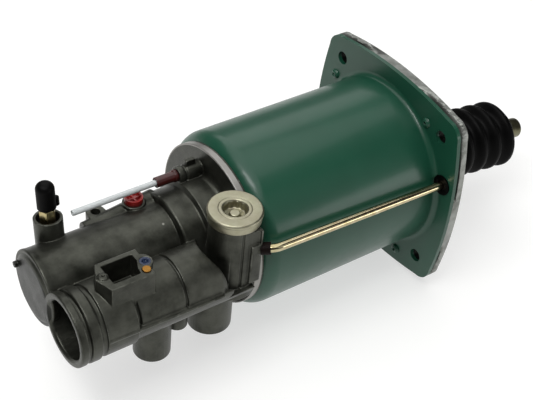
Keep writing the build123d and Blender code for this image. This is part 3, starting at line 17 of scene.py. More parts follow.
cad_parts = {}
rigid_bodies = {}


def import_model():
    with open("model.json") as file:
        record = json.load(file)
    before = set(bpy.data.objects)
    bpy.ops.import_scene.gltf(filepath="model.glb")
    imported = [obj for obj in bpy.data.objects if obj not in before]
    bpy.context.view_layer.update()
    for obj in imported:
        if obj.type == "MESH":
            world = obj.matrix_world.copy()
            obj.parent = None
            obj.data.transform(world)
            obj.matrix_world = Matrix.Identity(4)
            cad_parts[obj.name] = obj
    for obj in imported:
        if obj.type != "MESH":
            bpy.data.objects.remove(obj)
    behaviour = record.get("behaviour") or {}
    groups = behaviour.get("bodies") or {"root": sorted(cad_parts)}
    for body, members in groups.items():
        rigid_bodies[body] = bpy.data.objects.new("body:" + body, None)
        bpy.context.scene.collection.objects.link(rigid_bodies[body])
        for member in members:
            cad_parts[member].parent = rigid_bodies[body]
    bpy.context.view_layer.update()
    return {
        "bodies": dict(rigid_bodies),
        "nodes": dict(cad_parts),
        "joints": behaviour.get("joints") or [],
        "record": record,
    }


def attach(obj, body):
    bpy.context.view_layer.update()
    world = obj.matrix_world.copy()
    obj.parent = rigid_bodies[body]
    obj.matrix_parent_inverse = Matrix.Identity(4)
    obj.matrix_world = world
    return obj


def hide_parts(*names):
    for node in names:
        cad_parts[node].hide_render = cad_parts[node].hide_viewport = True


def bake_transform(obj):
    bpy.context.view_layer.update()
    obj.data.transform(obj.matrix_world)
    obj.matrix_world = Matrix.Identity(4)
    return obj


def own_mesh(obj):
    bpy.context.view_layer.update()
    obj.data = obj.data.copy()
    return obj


Point = tuple[float, float, float]
Profile = Sequence[tuple[float, float, float]]
Tree = bpy.types.NodeTree
Node = bpy.types.Node
Socket = bpy.types.NodeSocket

LOG = logging.getLogger("clutch_servo")
MM = 0.001
ORIGIN: Point = (0, 0, 0)
X_AXIS: Point = (1, 0, 0)
Z_AXIS: Point = (0, 0, 1)

# How near points are joined, in metres: in a copy of a CAD mesh, on a turned shape and on the boot.
CAD_WELD, TURNED_WELD, BOOT_WELD = 2e-6, 1e-7, 1e-6
# The shortest edge that a turned shape keeps, in metres.
SHORTEST_EDGE = 1e-8

# A Mix node's colour sockets go by number, because its other kinds have sockets of the same names.
SHARE, FIRST, SECOND, MIXED = 0, 6, 7, 2

# Pointiness is 0.5 on a flat face, more on an outer edge and less in a corner.
EDGE_BEGINS, EDGE_FULL = 0.52, 0.59
CORNER_BEGINS, CORNER_FULL = 0.49, 0.43


def linear(code: str) -> tuple[float, float, float, float]:
    """Turns an sRGB hex colour into linear red, green, blue and alpha.

    Args:
        code: The colour, such as "#1F4A38".

    Returns:
        The four linear values.
    """
    parts = [int(code[i:i + 2], 16) / 255 for i in (1, 3, 5)]
    red, green, blue = (p / 12.92 if p <= 0.04045 else ((p + 0.055) / 1.055) ** 2.4 for p in parts)
    return red, green, blue, 1.0


def scale_of(size: float) -> float:
    """Returns the texture scale that draws a pattern at a real size in millimetres."""
    return 1 / (size * MM)


def node(tree: Tree, kind: str, inputs: dict[Any, Any] | None = None, **settings: Any) -> Node:
    """Adds a node with its settings and links.

    Args:
        tree: The tree that gets the node.
        kind: The node's Blender type.
        inputs: For each input's name or number, a value, a socket or a node whose first output
            feeds it.
        **settings: Attributes of the node.

    Returns:
        The new node.
    """
    made = tree.nodes.new(kind)
    for name, value in settings.items():
        setattr(made, name, value)
    for key, value in (inputs or {}).items():
        if isinstance(value, bpy.types.Node):
            value = value.outputs[0]
        if isinstance(value, bpy.types.NodeSocket):
            tree.links.new(value, made.inputs[key])
        else:
            made.inputs[key].default_value = value
    return made


class Slot(Enum):
    """The record's material slots."""

    GREEN = "green_enamel"
    BARE = "bare_aluminium"
    CAST = "cast_aluminium"
    ZINC = "yellow_zinc"
    DARK_STEEL = "dark_steel"
    SPRING = "spring_steel"
    ROD = "rod_steel"
    RUBBER = "black_rubber"
    BROWN = "brown_seal"
    BLACK_PLASTIC = "black_plastic"
    CLEAR = "clear_plastic"
    RED = "red_plastic"
    BLUE = "blue_plastic"
    BRASS = "brass"


@dataclass(frozen=True)
class Finish:
    """A material: its name, the record's slot, its light and dark colour and how rough it is.

    The roughness wanders over the whole of rough_span, round its value. In the kinds of finish
    below, a name that ends in _mm is the size of a pattern's marks and one in _depth the height
    of a bump, both in millimetres. stain_span, edge_patch_span and bloom_span are the part of a
    noise that is drawn out from 0 to 1.
    """

    name: str
    slot: Slot
    light: str
    dark: str
    roughness: float
    metallic: float = 0.0
    rough_span: float = 0.16

    def material(self) -> bpy.types.Material:
        """Makes the finish's material, once.

        Returns:
            The material.
        """
        found = bpy.data.materials.get(self.name)
        if found:
            return found
        made = bpy.data.materials.new(self.name)
        made.use_nodes = True
        tree = made.node_tree
        tree.nodes.clear()
        shader = node(tree, "ShaderNodeBsdfPrincipled", {"Metallic": self.metallic,
                                                         "Roughness": self.roughness})
        node(tree, "ShaderNodeOutputMaterial", {"Surface": shader})
        self.dress(tree, shader, node(tree, "ShaderNodeTexCoord").outputs["Object"])
        made.diffuse_color = linear(self.light)
        return made

    def colour(self, tree: Tree, shader: Node, share: Any) -> Socket:
        """Mixes the dark and the light colour by a share and gives the result to the shader.

        Args:
            tree: The material's tree.
            shader: The shader.
            share: The socket or node that gives the light colour's share.

        Returns:
            The mixed colour.
        """
        mix = node(tree, "ShaderNodeMix", {SHARE: share, FIRST: linear(self.dark),
                                           SECOND: linear(self.light)}, data_type="RGBA")
        tree.links.new(mix.outputs[MIXED], shader.inputs["Base Color"])
        return mix.outputs[MIXED]

    def relief(self, tree: Tree, shader: Node, height: Any, depth_mm: float,
               into: str = "Normal") -> None:
        """Gives a shader a bump of a real depth.

        Args:
            tree: The material's tree.
            shader: The shader.
            height: The socket or node that gives the height from 0 to 1.
            depth_mm: The height's span in millimetres.
            into: The shader's normal input.
        """
        bump = node(tree, "ShaderNodeBump", {"Height": height, "Distance": depth_mm * MM,
                                             "Strength": 1.0})
        tree.links.new(bump.outputs[0], shader.inputs[into])

    def rough(self, tree: Tree, shader: Node, share: Any) -> None:
        """Lets the roughness wander round its value.

        Args:
            tree: The material's tree.
            shader: The shader.
            share: A value from 0 to 1 over the surface.
        """
        reach = self.rough_span / 2
        value = node(tree, "ShaderNodeMapRange", {"Value": share, "To Min": self.roughness - reach,
                                                  "To Max": self.roughness + reach})
        tree.links.new(value.outputs[0], shader.inputs["Roughness"])

    def dress(self, tree: Tree, shader: Node, place: Socket) -> None:
        """Gives the shader its patterns, in each kind of finish its own.

        Args:
            tree: The material's tree.
            shader: The shader.
            place: The Object coordinates.
        """
        raise NotImplementedError


@dataclass(frozen=True)
class GreenEnamel(Finish):
    """Stoved green enamel on drawn steel: even colour, a glassy coat with a faint orange peel."""

    drift_mm: float = 45.0
    dust_mm: float = 9.0
    peel_mm: float = 2.6
    peel_depth: float = 0.015
    coat_peel_depth: float = 0.008
    coat: float = 0.32
    coat_roughness: float = 0.2
    specular: float = 0.25

    def dress(self, tree: Tree, shader: Node, place: Socket) -> None:
        """Adds the even colour, the clear skin and its peel.

        Args:
            tree: The material's tree.
            shader: The shader.
            place: The Object coordinates.
        """
        drift = node(tree, "ShaderNodeTexNoise", {"Vector": place, "Detail": 2.0,
                                                  "Scale": scale_of(self.drift_mm)})
        self.colour(tree, shader, drift)
        dust = node(tree, "ShaderNodeTexNoise", {"Vector": place, "Detail": 6.0,
                                                 "Scale": scale_of(self.dust_mm)})
        self.rough(tree, shader, dust)
        peel = node(tree, "ShaderNodeTexNoise", {"Vector": place, "Detail": 1.0,
                                                 "Scale": scale_of(self.peel_mm)})
        self.relief(tree, shader, peel, self.peel_depth)
        self.relief(tree, shader, peel, self.coat_peel_depth, "Coat Normal")
        shader.inputs["Coat Weight"].default_value = self.coat
        shader.inputs["Coat Roughness"].default_value = self.coat_roughness
        shader.inputs["Specular IOR Level"].default_value = self.specular


@dataclass(frozen=True)
class Band:
    """A ring round the cylinder's axis painted a colour of its own: here a painted highlight and a
    painted shade.

    It goes from start to end along X and from the inner to the outer radius.
    """

    start: float
    end: float
    inner: float
    outer: float
    paint: str


@dataclass(frozen=True)
class CastAluminium(Finish):
    """Die-cast aluminium as it leaves the mould: a tight matt skin, oil stains, pale edges of worn
    metal and painted highlight, and painted shade.

    edge_wear_highlight_share, corner_shade_share and chip_cover say how much shows of the pale
    edges (worn metal and a painted highlight), of the painted shade in the corners and of the
    knocked-off chips, and chips is the share of the cells that have one. chip_radii are where a
    chip begins and where it is full, as shares of its cell. bores is the offset of the four bolt
    holes along Y and Z, and the radius that the painted shade in them takes.
    """

    rough_span: float = 0.3
    grain_mm: float = 0.7
    grain_depth: float = 0.09
    stain_mm: float = 14.0
    stain_span: tuple[float, float] = (0.32, 0.68)
    # edge_wear_highlight and its share: pale edges, partly worn metal and partly a painted
    # highlight
    edge_wear_highlight: str = "#8D8E86"
    edge_patch_mm: float = 6.0
    edge_patch_span: tuple[float, float] = (0.38, 0.6)
    edge_wear_highlight_share: float = 1.0
    # corner_shade: the colour of the painted shade in the corners
    corner_shade: str = "#0B0B09"
    corner_shade_share: float = 0.0
    chip: str = "#8E8E86"
    chip_mm: float = 7.0
    chip_radii: tuple[float, float] = (0.14, 0.08)
    chip_cover: float = 0.8
    chips: float = 0.0
    bands: tuple[Band, ...] = ()
    # bolt_hole_shade: the colour of the painted shade in the bolt holes
    bolt_hole_shade: str = "#161714"
    bores: tuple[float, float] | None = None

    def dress(self, tree: Tree, shader: Node, place: Socket) -> None:
        """Adds oil stains, cast skin, pale edges of wear and painted highlight, painted shade in
        the corners and bolt holes, and painted rings.

        Args:
            tree: The material's tree.
            shader: The shader.
            place: The Object coordinates.
        """
        stain = node(tree, "ShaderNodeTexNoise", {"Vector": place, "Detail": 5.0, "Roughness": 0.6,
                                                  "Scale": scale_of(self.stain_mm)})
        low, high = self.stain_span
        spread = node(tree, "ShaderNodeMapRange", {"Value": stain, "From Min": low,
                                                   "From Max": high})
        colour = self.colour(tree, shader, spread)
        pointed = node(tree, "ShaderNodeNewGeometry").outputs["Pointiness"]
        colour = self.wear_and_highlight_edges(tree, place, colour, pointed)
        # Painted shade: corners, found by low pointiness, are darkened.
        if self.corner_shade_share:
            corner_shade_mask = node(tree, "ShaderNodeMapRange", {"Value": pointed, "From Min": CORNER_BEGINS,
                                                     "From Max": CORNER_FULL,
                                                     "To Max": self.corner_shade_share})
            mix = node(tree, "ShaderNodeMix", {SHARE: corner_shade_mask, FIRST: colour,
                                               SECOND: linear(self.corner_shade)}, data_type="RGBA")
            colour = mix.outputs[MIXED]
        if self.chips:
            colour = self.chipped(tree, place, colour)
        # Painted rings: the disc's rim lighter, partly a painted highlight, and the barrel's end
        # face darker as painted shade.
        for band in self.bands:
            colour = self.banded(tree, place, colour, band)
        # Painted shade in the four bolt holes.
        if self.bores:
            colour = self.shade_bolt_holes(tree, place, colour, *self.bores)
        tree.links.new(colour, shader.inputs["Base Color"])
        self.rough(tree, shader, stain)
        grain = node(tree, "ShaderNodeTexNoise", {"Vector": place, "Detail": 5.0,
                                                  "Roughness": 0.65,
                                                  "Scale": scale_of(self.grain_mm)})
        self.relief(tree, shader, grain, self.grain_depth)

    def wear_and_highlight_edges(self, tree: Tree, place: Socket, colour: Socket, pointed: Socket) -> Socket:
        """Lightens outer edges in patches: partly bared metal and partly a painted highlight.

        Args:
            tree: The material's tree.
            place: The Object coordinates.
            colour: The colour so far.
            pointed: How far the surface stands out.

        Returns:
            The colour with the pale edges of wear and painted highlight.
        """
        # Pale outer edges, found by high pointiness: worn metal and a painted highlight on the
        # edge.
        edge = node(tree, "ShaderNodeMapRange", {"Value": pointed, "From Min": EDGE_BEGINS,
                                                 "From Max": EDGE_FULL, "To Max": self.edge_wear_highlight_share})
        patch = node(tree, "ShaderNodeTexNoise", {"Vector": place, "Detail": 4.0,
                                                  "Scale": scale_of(self.edge_patch_mm)})
        low, high = self.edge_patch_span
        kept = node(tree, "ShaderNodeMapRange", {"Value": patch, "From Min": low,
                                                 "From Max": high})
        share = node(tree, "ShaderNodeMath", {0: edge, 1: kept}, operation="MULTIPLY")
        mix = node(tree, "ShaderNodeMix", {SHARE: share, FIRST: colour,
                                           SECOND: linear(self.edge_wear_highlight)}, data_type="RGBA")
        return mix.outputs[MIXED]

    def chipped(self, tree: Tree, place: Socket, colour: Socket) -> Socket:
        """Scatters small pale chips where the skin was knocked off.

        Args:
            tree: The material's tree.
            place: The Object coordinates.
            colour: The colour so far.

        Returns:
            The colour with the chips.
        """
        cell = node(tree, "ShaderNodeTexVoronoi", {"Vector": place,
                                                   "Scale": scale_of(self.chip_mm)})
        lot = node(tree, "ShaderNodeSeparateXYZ", {"Vector": cell.outputs["Color"]})
        picked = node(tree, "ShaderNodeMath", {0: lot.outputs["X"], 1: 1 - self.chips},
                      operation="GREATER_THAN")
        begins, full = self.chip_radii
        spot = node(tree, "ShaderNodeMapRange", {"Value": cell.outputs["Distance"],
                                                 "From Min": begins, "From Max": full,
                                                 "To Max": self.chip_cover})
        share = node(tree, "ShaderNodeMath", {0: picked, 1: spot}, operation="MULTIPLY")
        mix = node(tree, "ShaderNodeMix", {SHARE: share, FIRST: colour,
                                           SECOND: linear(self.chip)}, data_type="RGBA")
        return mix.outputs[MIXED]

    def shade_bolt_holes(self, tree: Tree, place: Socket, colour: Socket, offset: float,
                radius: float) -> Socket:
        """Paints the walls of the four bolt holes dark, as painted shade in the holes.

        Args:
            tree: The material's tree.
            place: The Object coordinates.
            colour: The colour so far.
            offset: How far the holes are from the axis along Y and along Z.
            radius: How far from a hole's middle the painted shade goes.

        Returns:
            The colour with the grease.
        """
        folded = node(tree, "ShaderNodeVectorMath", {0: place}, operation="ABSOLUTE")
        from_bolt = node(tree, "ShaderNodeVectorMath", {0: folded,
                                                        1: (0, offset * MM, offset * MM)},
                         operation="SUBTRACT")
        flat = node(tree, "ShaderNodeVectorMath", {0: from_bolt, 1: (0, 1, 1)},
                    operation="MULTIPLY")
        reach = node(tree, "ShaderNodeVectorMath", {0: flat}, operation="LENGTH")
        near = node(tree, "ShaderNodeMath", {0: reach.outputs["Value"], 1: radius * MM},
                    operation="LESS_THAN")
        mix = node(tree, "ShaderNodeMix", {SHARE: near, FIRST: colour,
                                           SECOND: linear(self.bolt_hole_shade)}, data_type="RGBA")
        return mix.outputs[MIXED]

    def banded(self, tree: Tree, place: Socket, colour: Socket, band: Band) -> Socket:
        """Paints a ring round the cylinder's axis in its own colour: the turned rim lighter, partly
        as a painted highlight, and the barrel's end face darker as painted shade.

        Args:
            tree: The material's tree.
            place: The Object coordinates.
            colour: The colour so far.
            band: Where the ring is, and its colour.

        Returns:
            The colour with the band.
        """
        at = node(tree, "ShaderNodeSeparateXYZ", {"Vector": place})
        flat = node(tree, "ShaderNodeCombineXYZ", {"Y": at.outputs["Y"], "Z": at.outputs["Z"]})
        reach = node(tree, "ShaderNodeVectorMath", {0: flat}, operation="LENGTH").outputs["Value"]
        share: Any = 1.0
        for value, limit, operation in ((at.outputs["X"], band.start, "GREATER_THAN"),
                                        (at.outputs["X"], band.end, "LESS_THAN"),
                                        (reach, band.inner, "GREATER_THAN"),
                                        (reach, band.outer, "LESS_THAN")):
            test = node(tree, "ShaderNodeMath", {0: value, 1: limit * MM}, operation=operation)
            share = node(tree, "ShaderNodeMath", {0: test, 1: share}, operation="MULTIPLY")
        mix = node(tree, "ShaderNodeMix", {SHARE: share, FIRST: colour,
                                           SECOND: linear(band.paint)}, data_type="RGBA")
        return mix.outputs[MIXED]


@dataclass(frozen=True)
class TurnedMetal(Finish):
    """Turned or drawn metal, bare or plated: soft clouds in its tone and a faint drift of hue.

    hues is the least and the greatest turn of the hue, where 0.5 leaves it as it is.
    """

    cloud_mm: float = 3.5
    drift_mm: float = 8.0
    drift_seed: float = 3.0
    hues: tuple[float, float] = (0.47, 0.53)

    def dress(self, tree: Tree, shader: Node, place: Socket) -> None:
        """Adds the clouds and the faint hues.

        Args:
            tree: The material's tree.
            shader: The shader.
            place: The Object coordinates.
        """
        cloud = node(tree, "ShaderNodeTexNoise", {"Vector": place, "Detail": 4.0,
                                                  "Scale": scale_of(self.cloud_mm)})
        base = self.colour(tree, shader, cloud)
        drift = node(tree, "ShaderNodeTexNoise", {"Vector": place, "W": self.drift_seed,
                                                  "Detail": 2.0,
                                                  "Scale": scale_of(self.drift_mm)},
                     noise_dimensions="4D")
        least, most = self.hues
        hue = node(tree, "ShaderNodeMapRange", {"Value": drift, "To Min": least, "To Max": most})
        tint = node(tree, "ShaderNodeHueSaturation", {"Hue": hue, "Color": base})
        tree.links.new(tint.outputs[0], shader.inputs["Base Color"])
        self.rough(tree, shader, cloud)


@dataclass(frozen=True)
class MouldedRubber(Finish):
    """Black moulded rubber: nearly no colour, a soft sheen with a greyish bloom."""

    rough_span: float = 0.2
    bloom_mm: float = 10.0
    bloom_span: tuple[float, float] = (0.35, 0.75)
    grain_mm: float = 0.6
    grain_depth: float = 0.03
    specular: float = 0.08

    def dress(self, tree: Tree, shader: Node, place: Socket) -> None:
        """Adds the bloom and the mould's fine texture.

        Args:
            tree: The material's tree.
            shader: The shader.
            place: The Object coordinates.
        """
        bloom = node(tree, "ShaderNodeTexNoise", {"Vector": place, "Detail": 5.0,
                                                  "Scale": scale_of(self.bloom_mm)})
        low, high = self.bloom_span
        spread = node(tree, "ShaderNodeMapRange", {"Value": bloom, "From Min": low,
                                                   "From Max": high})
        self.colour(tree, shader, spread)
        self.rough(tree, shader, bloom)
        shader.inputs["Specular IOR Level"].default_value = self.specular
        grain = node(tree, "ShaderNodeTexNoise", {"Vector": place, "Detail": 3.0,
                                                  "Scale": scale_of(self.grain_mm)})
        self.relief(tree, shader, grain, self.grain_depth)


@dataclass(frozen=True)
class MouldedPlastic(Finish):
    """Injection-moulded plastic: even colour, smooth skin, a share of the light let in.

    let_in is the share of the light that goes in, and light_reach how far, in millimetres.
    """

    rough_span: float = 0.1
    let_in: float = 0.0
    light_reach: float = 1.5
    flow_mm: float = 4.0

    def dress(self, tree: Tree, shader: Node, place: Socket) -> None:
        """Adds slight flow marks and the light that goes in.

        Args:
            tree: The material's tree.
            shader: The shader.
            place: The Object coordinates.
        """
        flow = node(tree, "ShaderNodeTexNoise", {"Vector": place, "Detail": 3.0,
                                                 "Scale": scale_of(self.flow_mm)})
        self.colour(tree, shader, flow)
        self.rough(tree, shader, flow)
        shader.inputs["Subsurface Weight"].default_value = self.let_in
        shader.inputs["Subsurface Radius"].default_value = (self.light_reach * MM,) * 3
        shader.inputs["Subsurface Scale"].default_value = 1.0


# Stoved enamel on drawn steel: an even deep green under a glassy skin, with soft wide lights.
GREEN = GreenEnamel("stoved_green_enamel", Slot.GREEN, "#184C39", "#113E2D", 0.42)
# Die-cast aluminium, oiled and handled: dark olive grey with a satin skin, with painted shade in
# its corners and pale edges of worn metal and painted highlight. The disc's turned rim is painted
# light, partly its own bare metal and partly a painted highlight, and the barrel's end face is
# painted dark as shade.
CAST = CastAluminium("oily_die_cast_aluminium", Slot.CAST, "#4B4C45", "#2B2C26", 0.38, 0.8,
                     corner_shade_share=0.55, chips=0.03,
                     bands=(Band(-160.3, -155.6, 56.4, 90.0, "#8B8985"),
                            Band(-296.0, -289.9, -1.0, 23.6, "#22231F")))
# The same metal left bare: light grey and matt, with a coarse grain that breaks up the light, pale
# edges of worn metal and painted highlight, and painted shade in its bolt holes.
BARE = CastAluminium("bare_cast_aluminium", Slot.BARE, "#8F918D", "#676963", 0.46, 0.85,
                     grain_mm=0.9, edge_wear_highlight="#A9ABA7", edge_wear_highlight_share=0.5, bores=(55.0, 6.2))
# Faded yellow passivation on a turned steel plug: greyish beige, nearly matt on its flat, with thin
# bright edges.
PLUG_ZINC = TurnedMetal("faded_zinc_plug", Slot.ZINC, "#A8A592", "#8C8871", 0.42, 1.0)
# Yellow passivation on small turned steel parts: pale straw with clouds of faint colour.
ZINC = TurnedMetal("yellow_zinc_plate", Slot.ZINC, "#D2C7A0", "#A1905A", 0.3, 1.0)
# The same plating on drawn tube: smooth enough for one hard bright line along it.
PIPE_ZINC = TurnedMetal("yellow_zinc_pipe", Slot.ZINC, "#CFC8AA", "#8E7A50", 0.14, 1.0)
# Phosphated steel: neutral grey and semi-bright, dark wherever the room is dark.
STEEL = TurnedMetal("dark_steel", Slot.DARK_STEEL, "#86867E", "#5B5B54", 0.38, 1.0)
# Ground and polished steel: clear grey with tight reflections.
SPRING = TurnedMetal("plain_steel", Slot.SPRING, "#9B9B96", "#7B7B76", 0.32, 1.0)
# Drawn steel rod, oiled and tarnished: olive grey with streaks of light.
ROD = TurnedMetal("oiled_rod_steel", Slot.ROD, "#807D64", "#484632", 0.33, 1.0)
# Drawn brass left to dull: warm gold, satin.
BRASS = TurnedMetal("brass_bush", Slot.BRASS, "#A87A3C", "#7E5826", 0.45, 1.0)
# Carbon-black moulded rubber: nearly black, only a dim wide sheen on its curves.
RUBBER = MouldedRubber("moulded_black_rubber", Slot.RUBBER, "#050505", "#020202", 0.5)
# Aged natural rubber: dark brown and dull.
BROWN = MouldedRubber("brown_sealing_collar", Slot.BROWN, "#170C09", "#0C0605", 0.55)
# Glass-filled black nylon: flat black with a slight sheen.
BLACK = MouldedPlastic("black_nylon", Slot.BLACK_PLASTIC, "#1A1A1B", "#121213", 0.42)
# Natural nylon tube: milky white, light goes a little way in and rounds off its shades.
CLEAR = MouldedPlastic("milky_nylon_tube", Slot.CLEAR, "#CDD2D2", "#B4B9B9", 0.4, let_in=0.3)
# Dyed nylon: full red, smooth and slightly waxy.
RED = MouldedPlastic("red_nylon", Slot.RED, "#A01614", "#7A100E", 0.34, let_in=0.05)
# The same nylon, oil-soaked and in a deeper red.
DARK_RED = MouldedPlastic("dark_red_nylon", Slot.RED, "#48120F", "#260806", 0.3, let_in=0.02)
# Dyed nylon screw: deep navy, smooth.
BLUE = MouldedPlastic("blue_nylon", Slot.BLUE, "#1B2C4E", "#121D36", 0.3)

CAD_FINISHES = {
    Slot.GREEN: GREEN, Slot.BARE: BARE, Slot.CAST: CAST, Slot.ZINC: ZINC, Slot.DARK_STEEL: STEEL,
    Slot.SPRING: SPRING, Slot.ROD: ROD, Slot.RUBBER: RUBBER, Slot.BROWN: BROWN,
    Slot.BLACK_PLASTIC: BLACK, Slot.CLEAR: CLEAR, Slot.RED: RED, Slot.BLUE: BLUE,
    Slot.BRASS: BRASS,
}


def linked(name: str, mesh: bpy.types.Mesh, finish: Finish) -> bpy.types.Object:
    """Puts a mesh in the scene with its finish, at the origin.

    Args:
        name: The piece's name.
        mesh: Its mesh, in metres.
        finish: Its finish.

    Returns:
        The new object.
    """
    made = bpy.data.objects.new(name, mesh)
    bpy.context.scene.collection.objects.link(made)
    mesh.materials.clear()
    mesh.materials.append(finish.material())
    return made


def smooth_by_angle(mesh: bpy.types.Mesh, degrees: float) -> None:
    """Shades a mesh smooth and marks its edges sharp above an angle."""
    mesh.polygons.foreach_set("use_smooth", [True] * len(mesh.polygons))
    mesh.set_sharp_from_angle(angle=math.radians(degrees))


def settle(piece: bpy.types.Object, body: str, finish: Finish, *nodes: str) -> bpy.types.Object:
    """Puts a finished piece on the body it rides on and hides the CAD nodes it stands for.

    Args:
        piece: The piece.
        body: The CAD body.
        finish: Its finish; not used.
        *nodes: The CAD nodes it replaces.

    Returns:
        The piece.
    """
    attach(piece, body)
    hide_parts(*nodes)
    LOG.info("%s rides on %s, %d faces", piece.name, body, len(piece.data.polygons))
    return piece


def plain(piece: bpy.types.Object) -> bpy.types.Object:
    """Turns an object with modifiers into an object with a plain mesh.

    Args:
        piece: The object, which is removed.

    Returns:
        The plain object, with the same name.
    """
    name = piece.name
    graph = bpy.context.evaluated_depsgraph_get()
    mesh = bpy.data.meshes.new_from_object(piece.evaluated_get(graph), depsgraph=graph,
                                           preserve_all_data_layers=True)
    bpy.data.objects.remove(piece)
    mesh.name = name
    made = bpy.data.objects.new(name, mesh)
    bpy.context.scene.collection.objects.link(made)
    return made


def cad_copy(cad: str, name: str, finish: Finish, sharp: float = 32.0,
             weight: int = 90) -> bpy.types.Object:
    """Copies a CAD node's mesh, joins its loose triangles and shades it.

    Args:
        cad: The CAD node.
        name: The new piece's name.
        finish: Its finish.
        sharp: The angle in degrees above which an edge stays sharp.
        weight: How much more the large faces count in the shading, from 1 to 100.

    Returns:
        The new piece, not yet on a body.
    """
    mesh = bpy.data.objects[cad].data.copy()
    mesh.name = name
    shape = bmesh.new()
    shape.from_mesh(mesh)
    bmesh.ops.remove_doubles(shape, verts=shape.verts, dist=CAD_WELD)
    shape.to_mesh(mesh)
    shape.free()
    smooth_by_angle(mesh, sharp)
    made = linked(name, mesh, finish)
    weigh = made.modifiers.new("weighted", "WEIGHTED_NORMAL")
    weigh.keep_sharp = True
    weigh.weight = weight
    return plain(made)


def arc_corner(before: Vector, corner: Vector, after: Vector, radius: float, steps: int,
               straight: float = 179.0, most: float = 0.499) -> list[Vector]:
    """Rounds one corner of a flat outline.

    Args:
        before: The point before the corner.
        corner: The corner.
        after: The point after it.
        radius: The rounding's radius.
        steps: How many spans the arc gets.
        straight: The angle in degrees from which a corner is too blunt to round.
        most: The share of each side that the rounding may take.

    Returns:
        The arc's points.
    """
    back, ahead = before - corner, after - corner
    a, b = back.normalized(), ahead.normalized()
    half = a.angle(b) / 2
    if radius <= 0 or half > math.radians(straight / 2):
        return [corner]
    reach = min(radius / math.tan(half), back.length * most, ahead.length * most)
    used = reach * math.tan(half)
    centre = corner + (a + b).normalized() * (used / math.sin(half))
    start, end = corner + a * reach - centre, corner + b * reach - centre
    return [centre + start.slerp(end, i / steps) for i in range(steps + 1)]


def turned(profile: Profile, origin: Point, axis: Point, segments: int = 96, steps: int = 4,
           sharp: float = 35.0) -> bpy.types.Mesh:
    """Turns a closed profile about an axis.

    Args:
        profile: Corners as (distance along the axis, radius, rounding), in millimetres.
        origin: A point on the axis, in millimetres.
        axis: The axis' direction.
        segments: How many spans go round.
        steps: How many spans each rounding gets.
        sharp: The angle in degrees above which an edge stays sharp.

    Returns:
        The closed mesh, in metres, with outward faces.
    """
    corners = [Vector((along, radius, 0.0)) for along, radius, _ in profile]
    line: list[Vector] = []
    for i, (_, _, rounding) in enumerate(profile):
        line += arc_corner(corners[i - 1], corners[i], corners[(i + 1) % len(corners)], rounding,
                           steps)
    shape = bmesh.new()
    angles = [2 * math.pi * k / segments for k in range(segments)]
    rings = [[shape.verts.new((p.x, max(p.y, 0.0) * math.cos(t), max(p.y, 0.0) * math.sin(t)))
              for t in angles] for p in line]
    for i, ring in enumerate(rings):
        after = rings[(i + 1) % len(rings)]
        for k in range(segments):
            beside = (k + 1) % segments
            shape.faces.new((ring[k], after[k], after[beside], ring[beside]))
    turn = Vector(X_AXIS).rotation_difference(Vector(axis).normalized()).to_matrix().to_4x4()
    bmesh.ops.transform(shape, matrix=Matrix.Scale(MM, 4) @ Matrix.Translation(origin) @ turn,
                        verts=shape.verts)
    bmesh.ops.remove_doubles(shape, verts=shape.verts, dist=TURNED_WELD)
    bmesh.ops.dissolve_degenerate(shape, edges=shape.edges, dist=SHORTEST_EDGE)
    bmesh.ops.recalc_face_normals(shape, faces=shape.faces)
    mesh = bpy.data.meshes.new("turned")
    shape.to_mesh(mesh)
    shape.free()
    smooth_by_angle(mesh, sharp)
    return mesh


@dataclass
class Grower:
    """A Geometry Nodes tree with named inputs, and the plain meshes that it grows.

    inputs gives each input's name and whether it is a float or an int.
    """

    name: str
    inputs: dict[str, type]
    tree: Tree = field(init=False)
    given: Node = field(init=False)

    def __post_init__(self) -> None:
        """Makes the tree's interface."""
        kinds = {float: "NodeSocketFloat", int: "NodeSocketInt"}
        self.tree = bpy.data.node_groups.new(self.name, "GeometryNodeTree")
        face = self.tree.interface
        face.new_socket("Geometry", in_out="INPUT", socket_type="NodeSocketGeometry")
        for name, kind in self.inputs.items():
            face.new_socket(name, in_out="INPUT", socket_type=kinds[kind])
        face.new_socket("Material", in_out="INPUT", socket_type="NodeSocketMaterial")
        face.new_socket("Geometry", in_out="OUTPUT", socket_type="NodeSocketGeometry")
        self.given = node(self.tree, "NodeGroupInput")

    def value(self, name: str) -> Socket:
        """Returns the socket of a named input."""
        return self.given.outputs[name]

    def maths(self, operation: str, *values: Any) -> Socket:
        """Returns the result of one sum on numbers or sockets."""
        made = node(self.tree, "ShaderNodeMath", dict(enumerate(values)), operation=operation)
        return made.outputs[0]

    def close(self, geometry: Any) -> None:
        """Ends the tree: instances made real, material set.

        Args:
            geometry: The socket or node that gives the shape.
        """
        real = node(self.tree, "GeometryNodeRealizeInstances", {"Geometry": geometry})
        painted = node(self.tree, "GeometryNodeSetMaterial", {"Geometry": real,
                                                              "Material": self.value("Material")})
        node(self.tree, "NodeGroupOutput", {"Geometry": painted})

    def grow(self, name: str, finish: Finish, base: bpy.types.Mesh | None = None,
             **values: float) -> bpy.types.Object:
        """Runs the tree and keeps its result as a plain mesh.

        Args:
            name: The piece's name.
            finish: Its finish.
            base: The mesh that goes in, or none.
            **values: The named inputs' values.

        Returns:
            The new object.
        """
        holder = bpy.data.objects.new(name, base or bpy.data.meshes.new(name))
        bpy.context.scene.collection.objects.link(holder)
        modifier = holder.modifiers.new("grow", "NODES")
        modifier.node_group = self.tree
        given = {"Material": finish.material(), **values}
        for item in self.tree.interface.items_tree:
            if item.item_type == "SOCKET" and item.in_out == "INPUT" and item.name in given:
                modifier[item.identifier] = given[item.name]
        made = plain(holder)
        made.data.materials.clear()
        made.data.materials.append(finish.material())
        return made


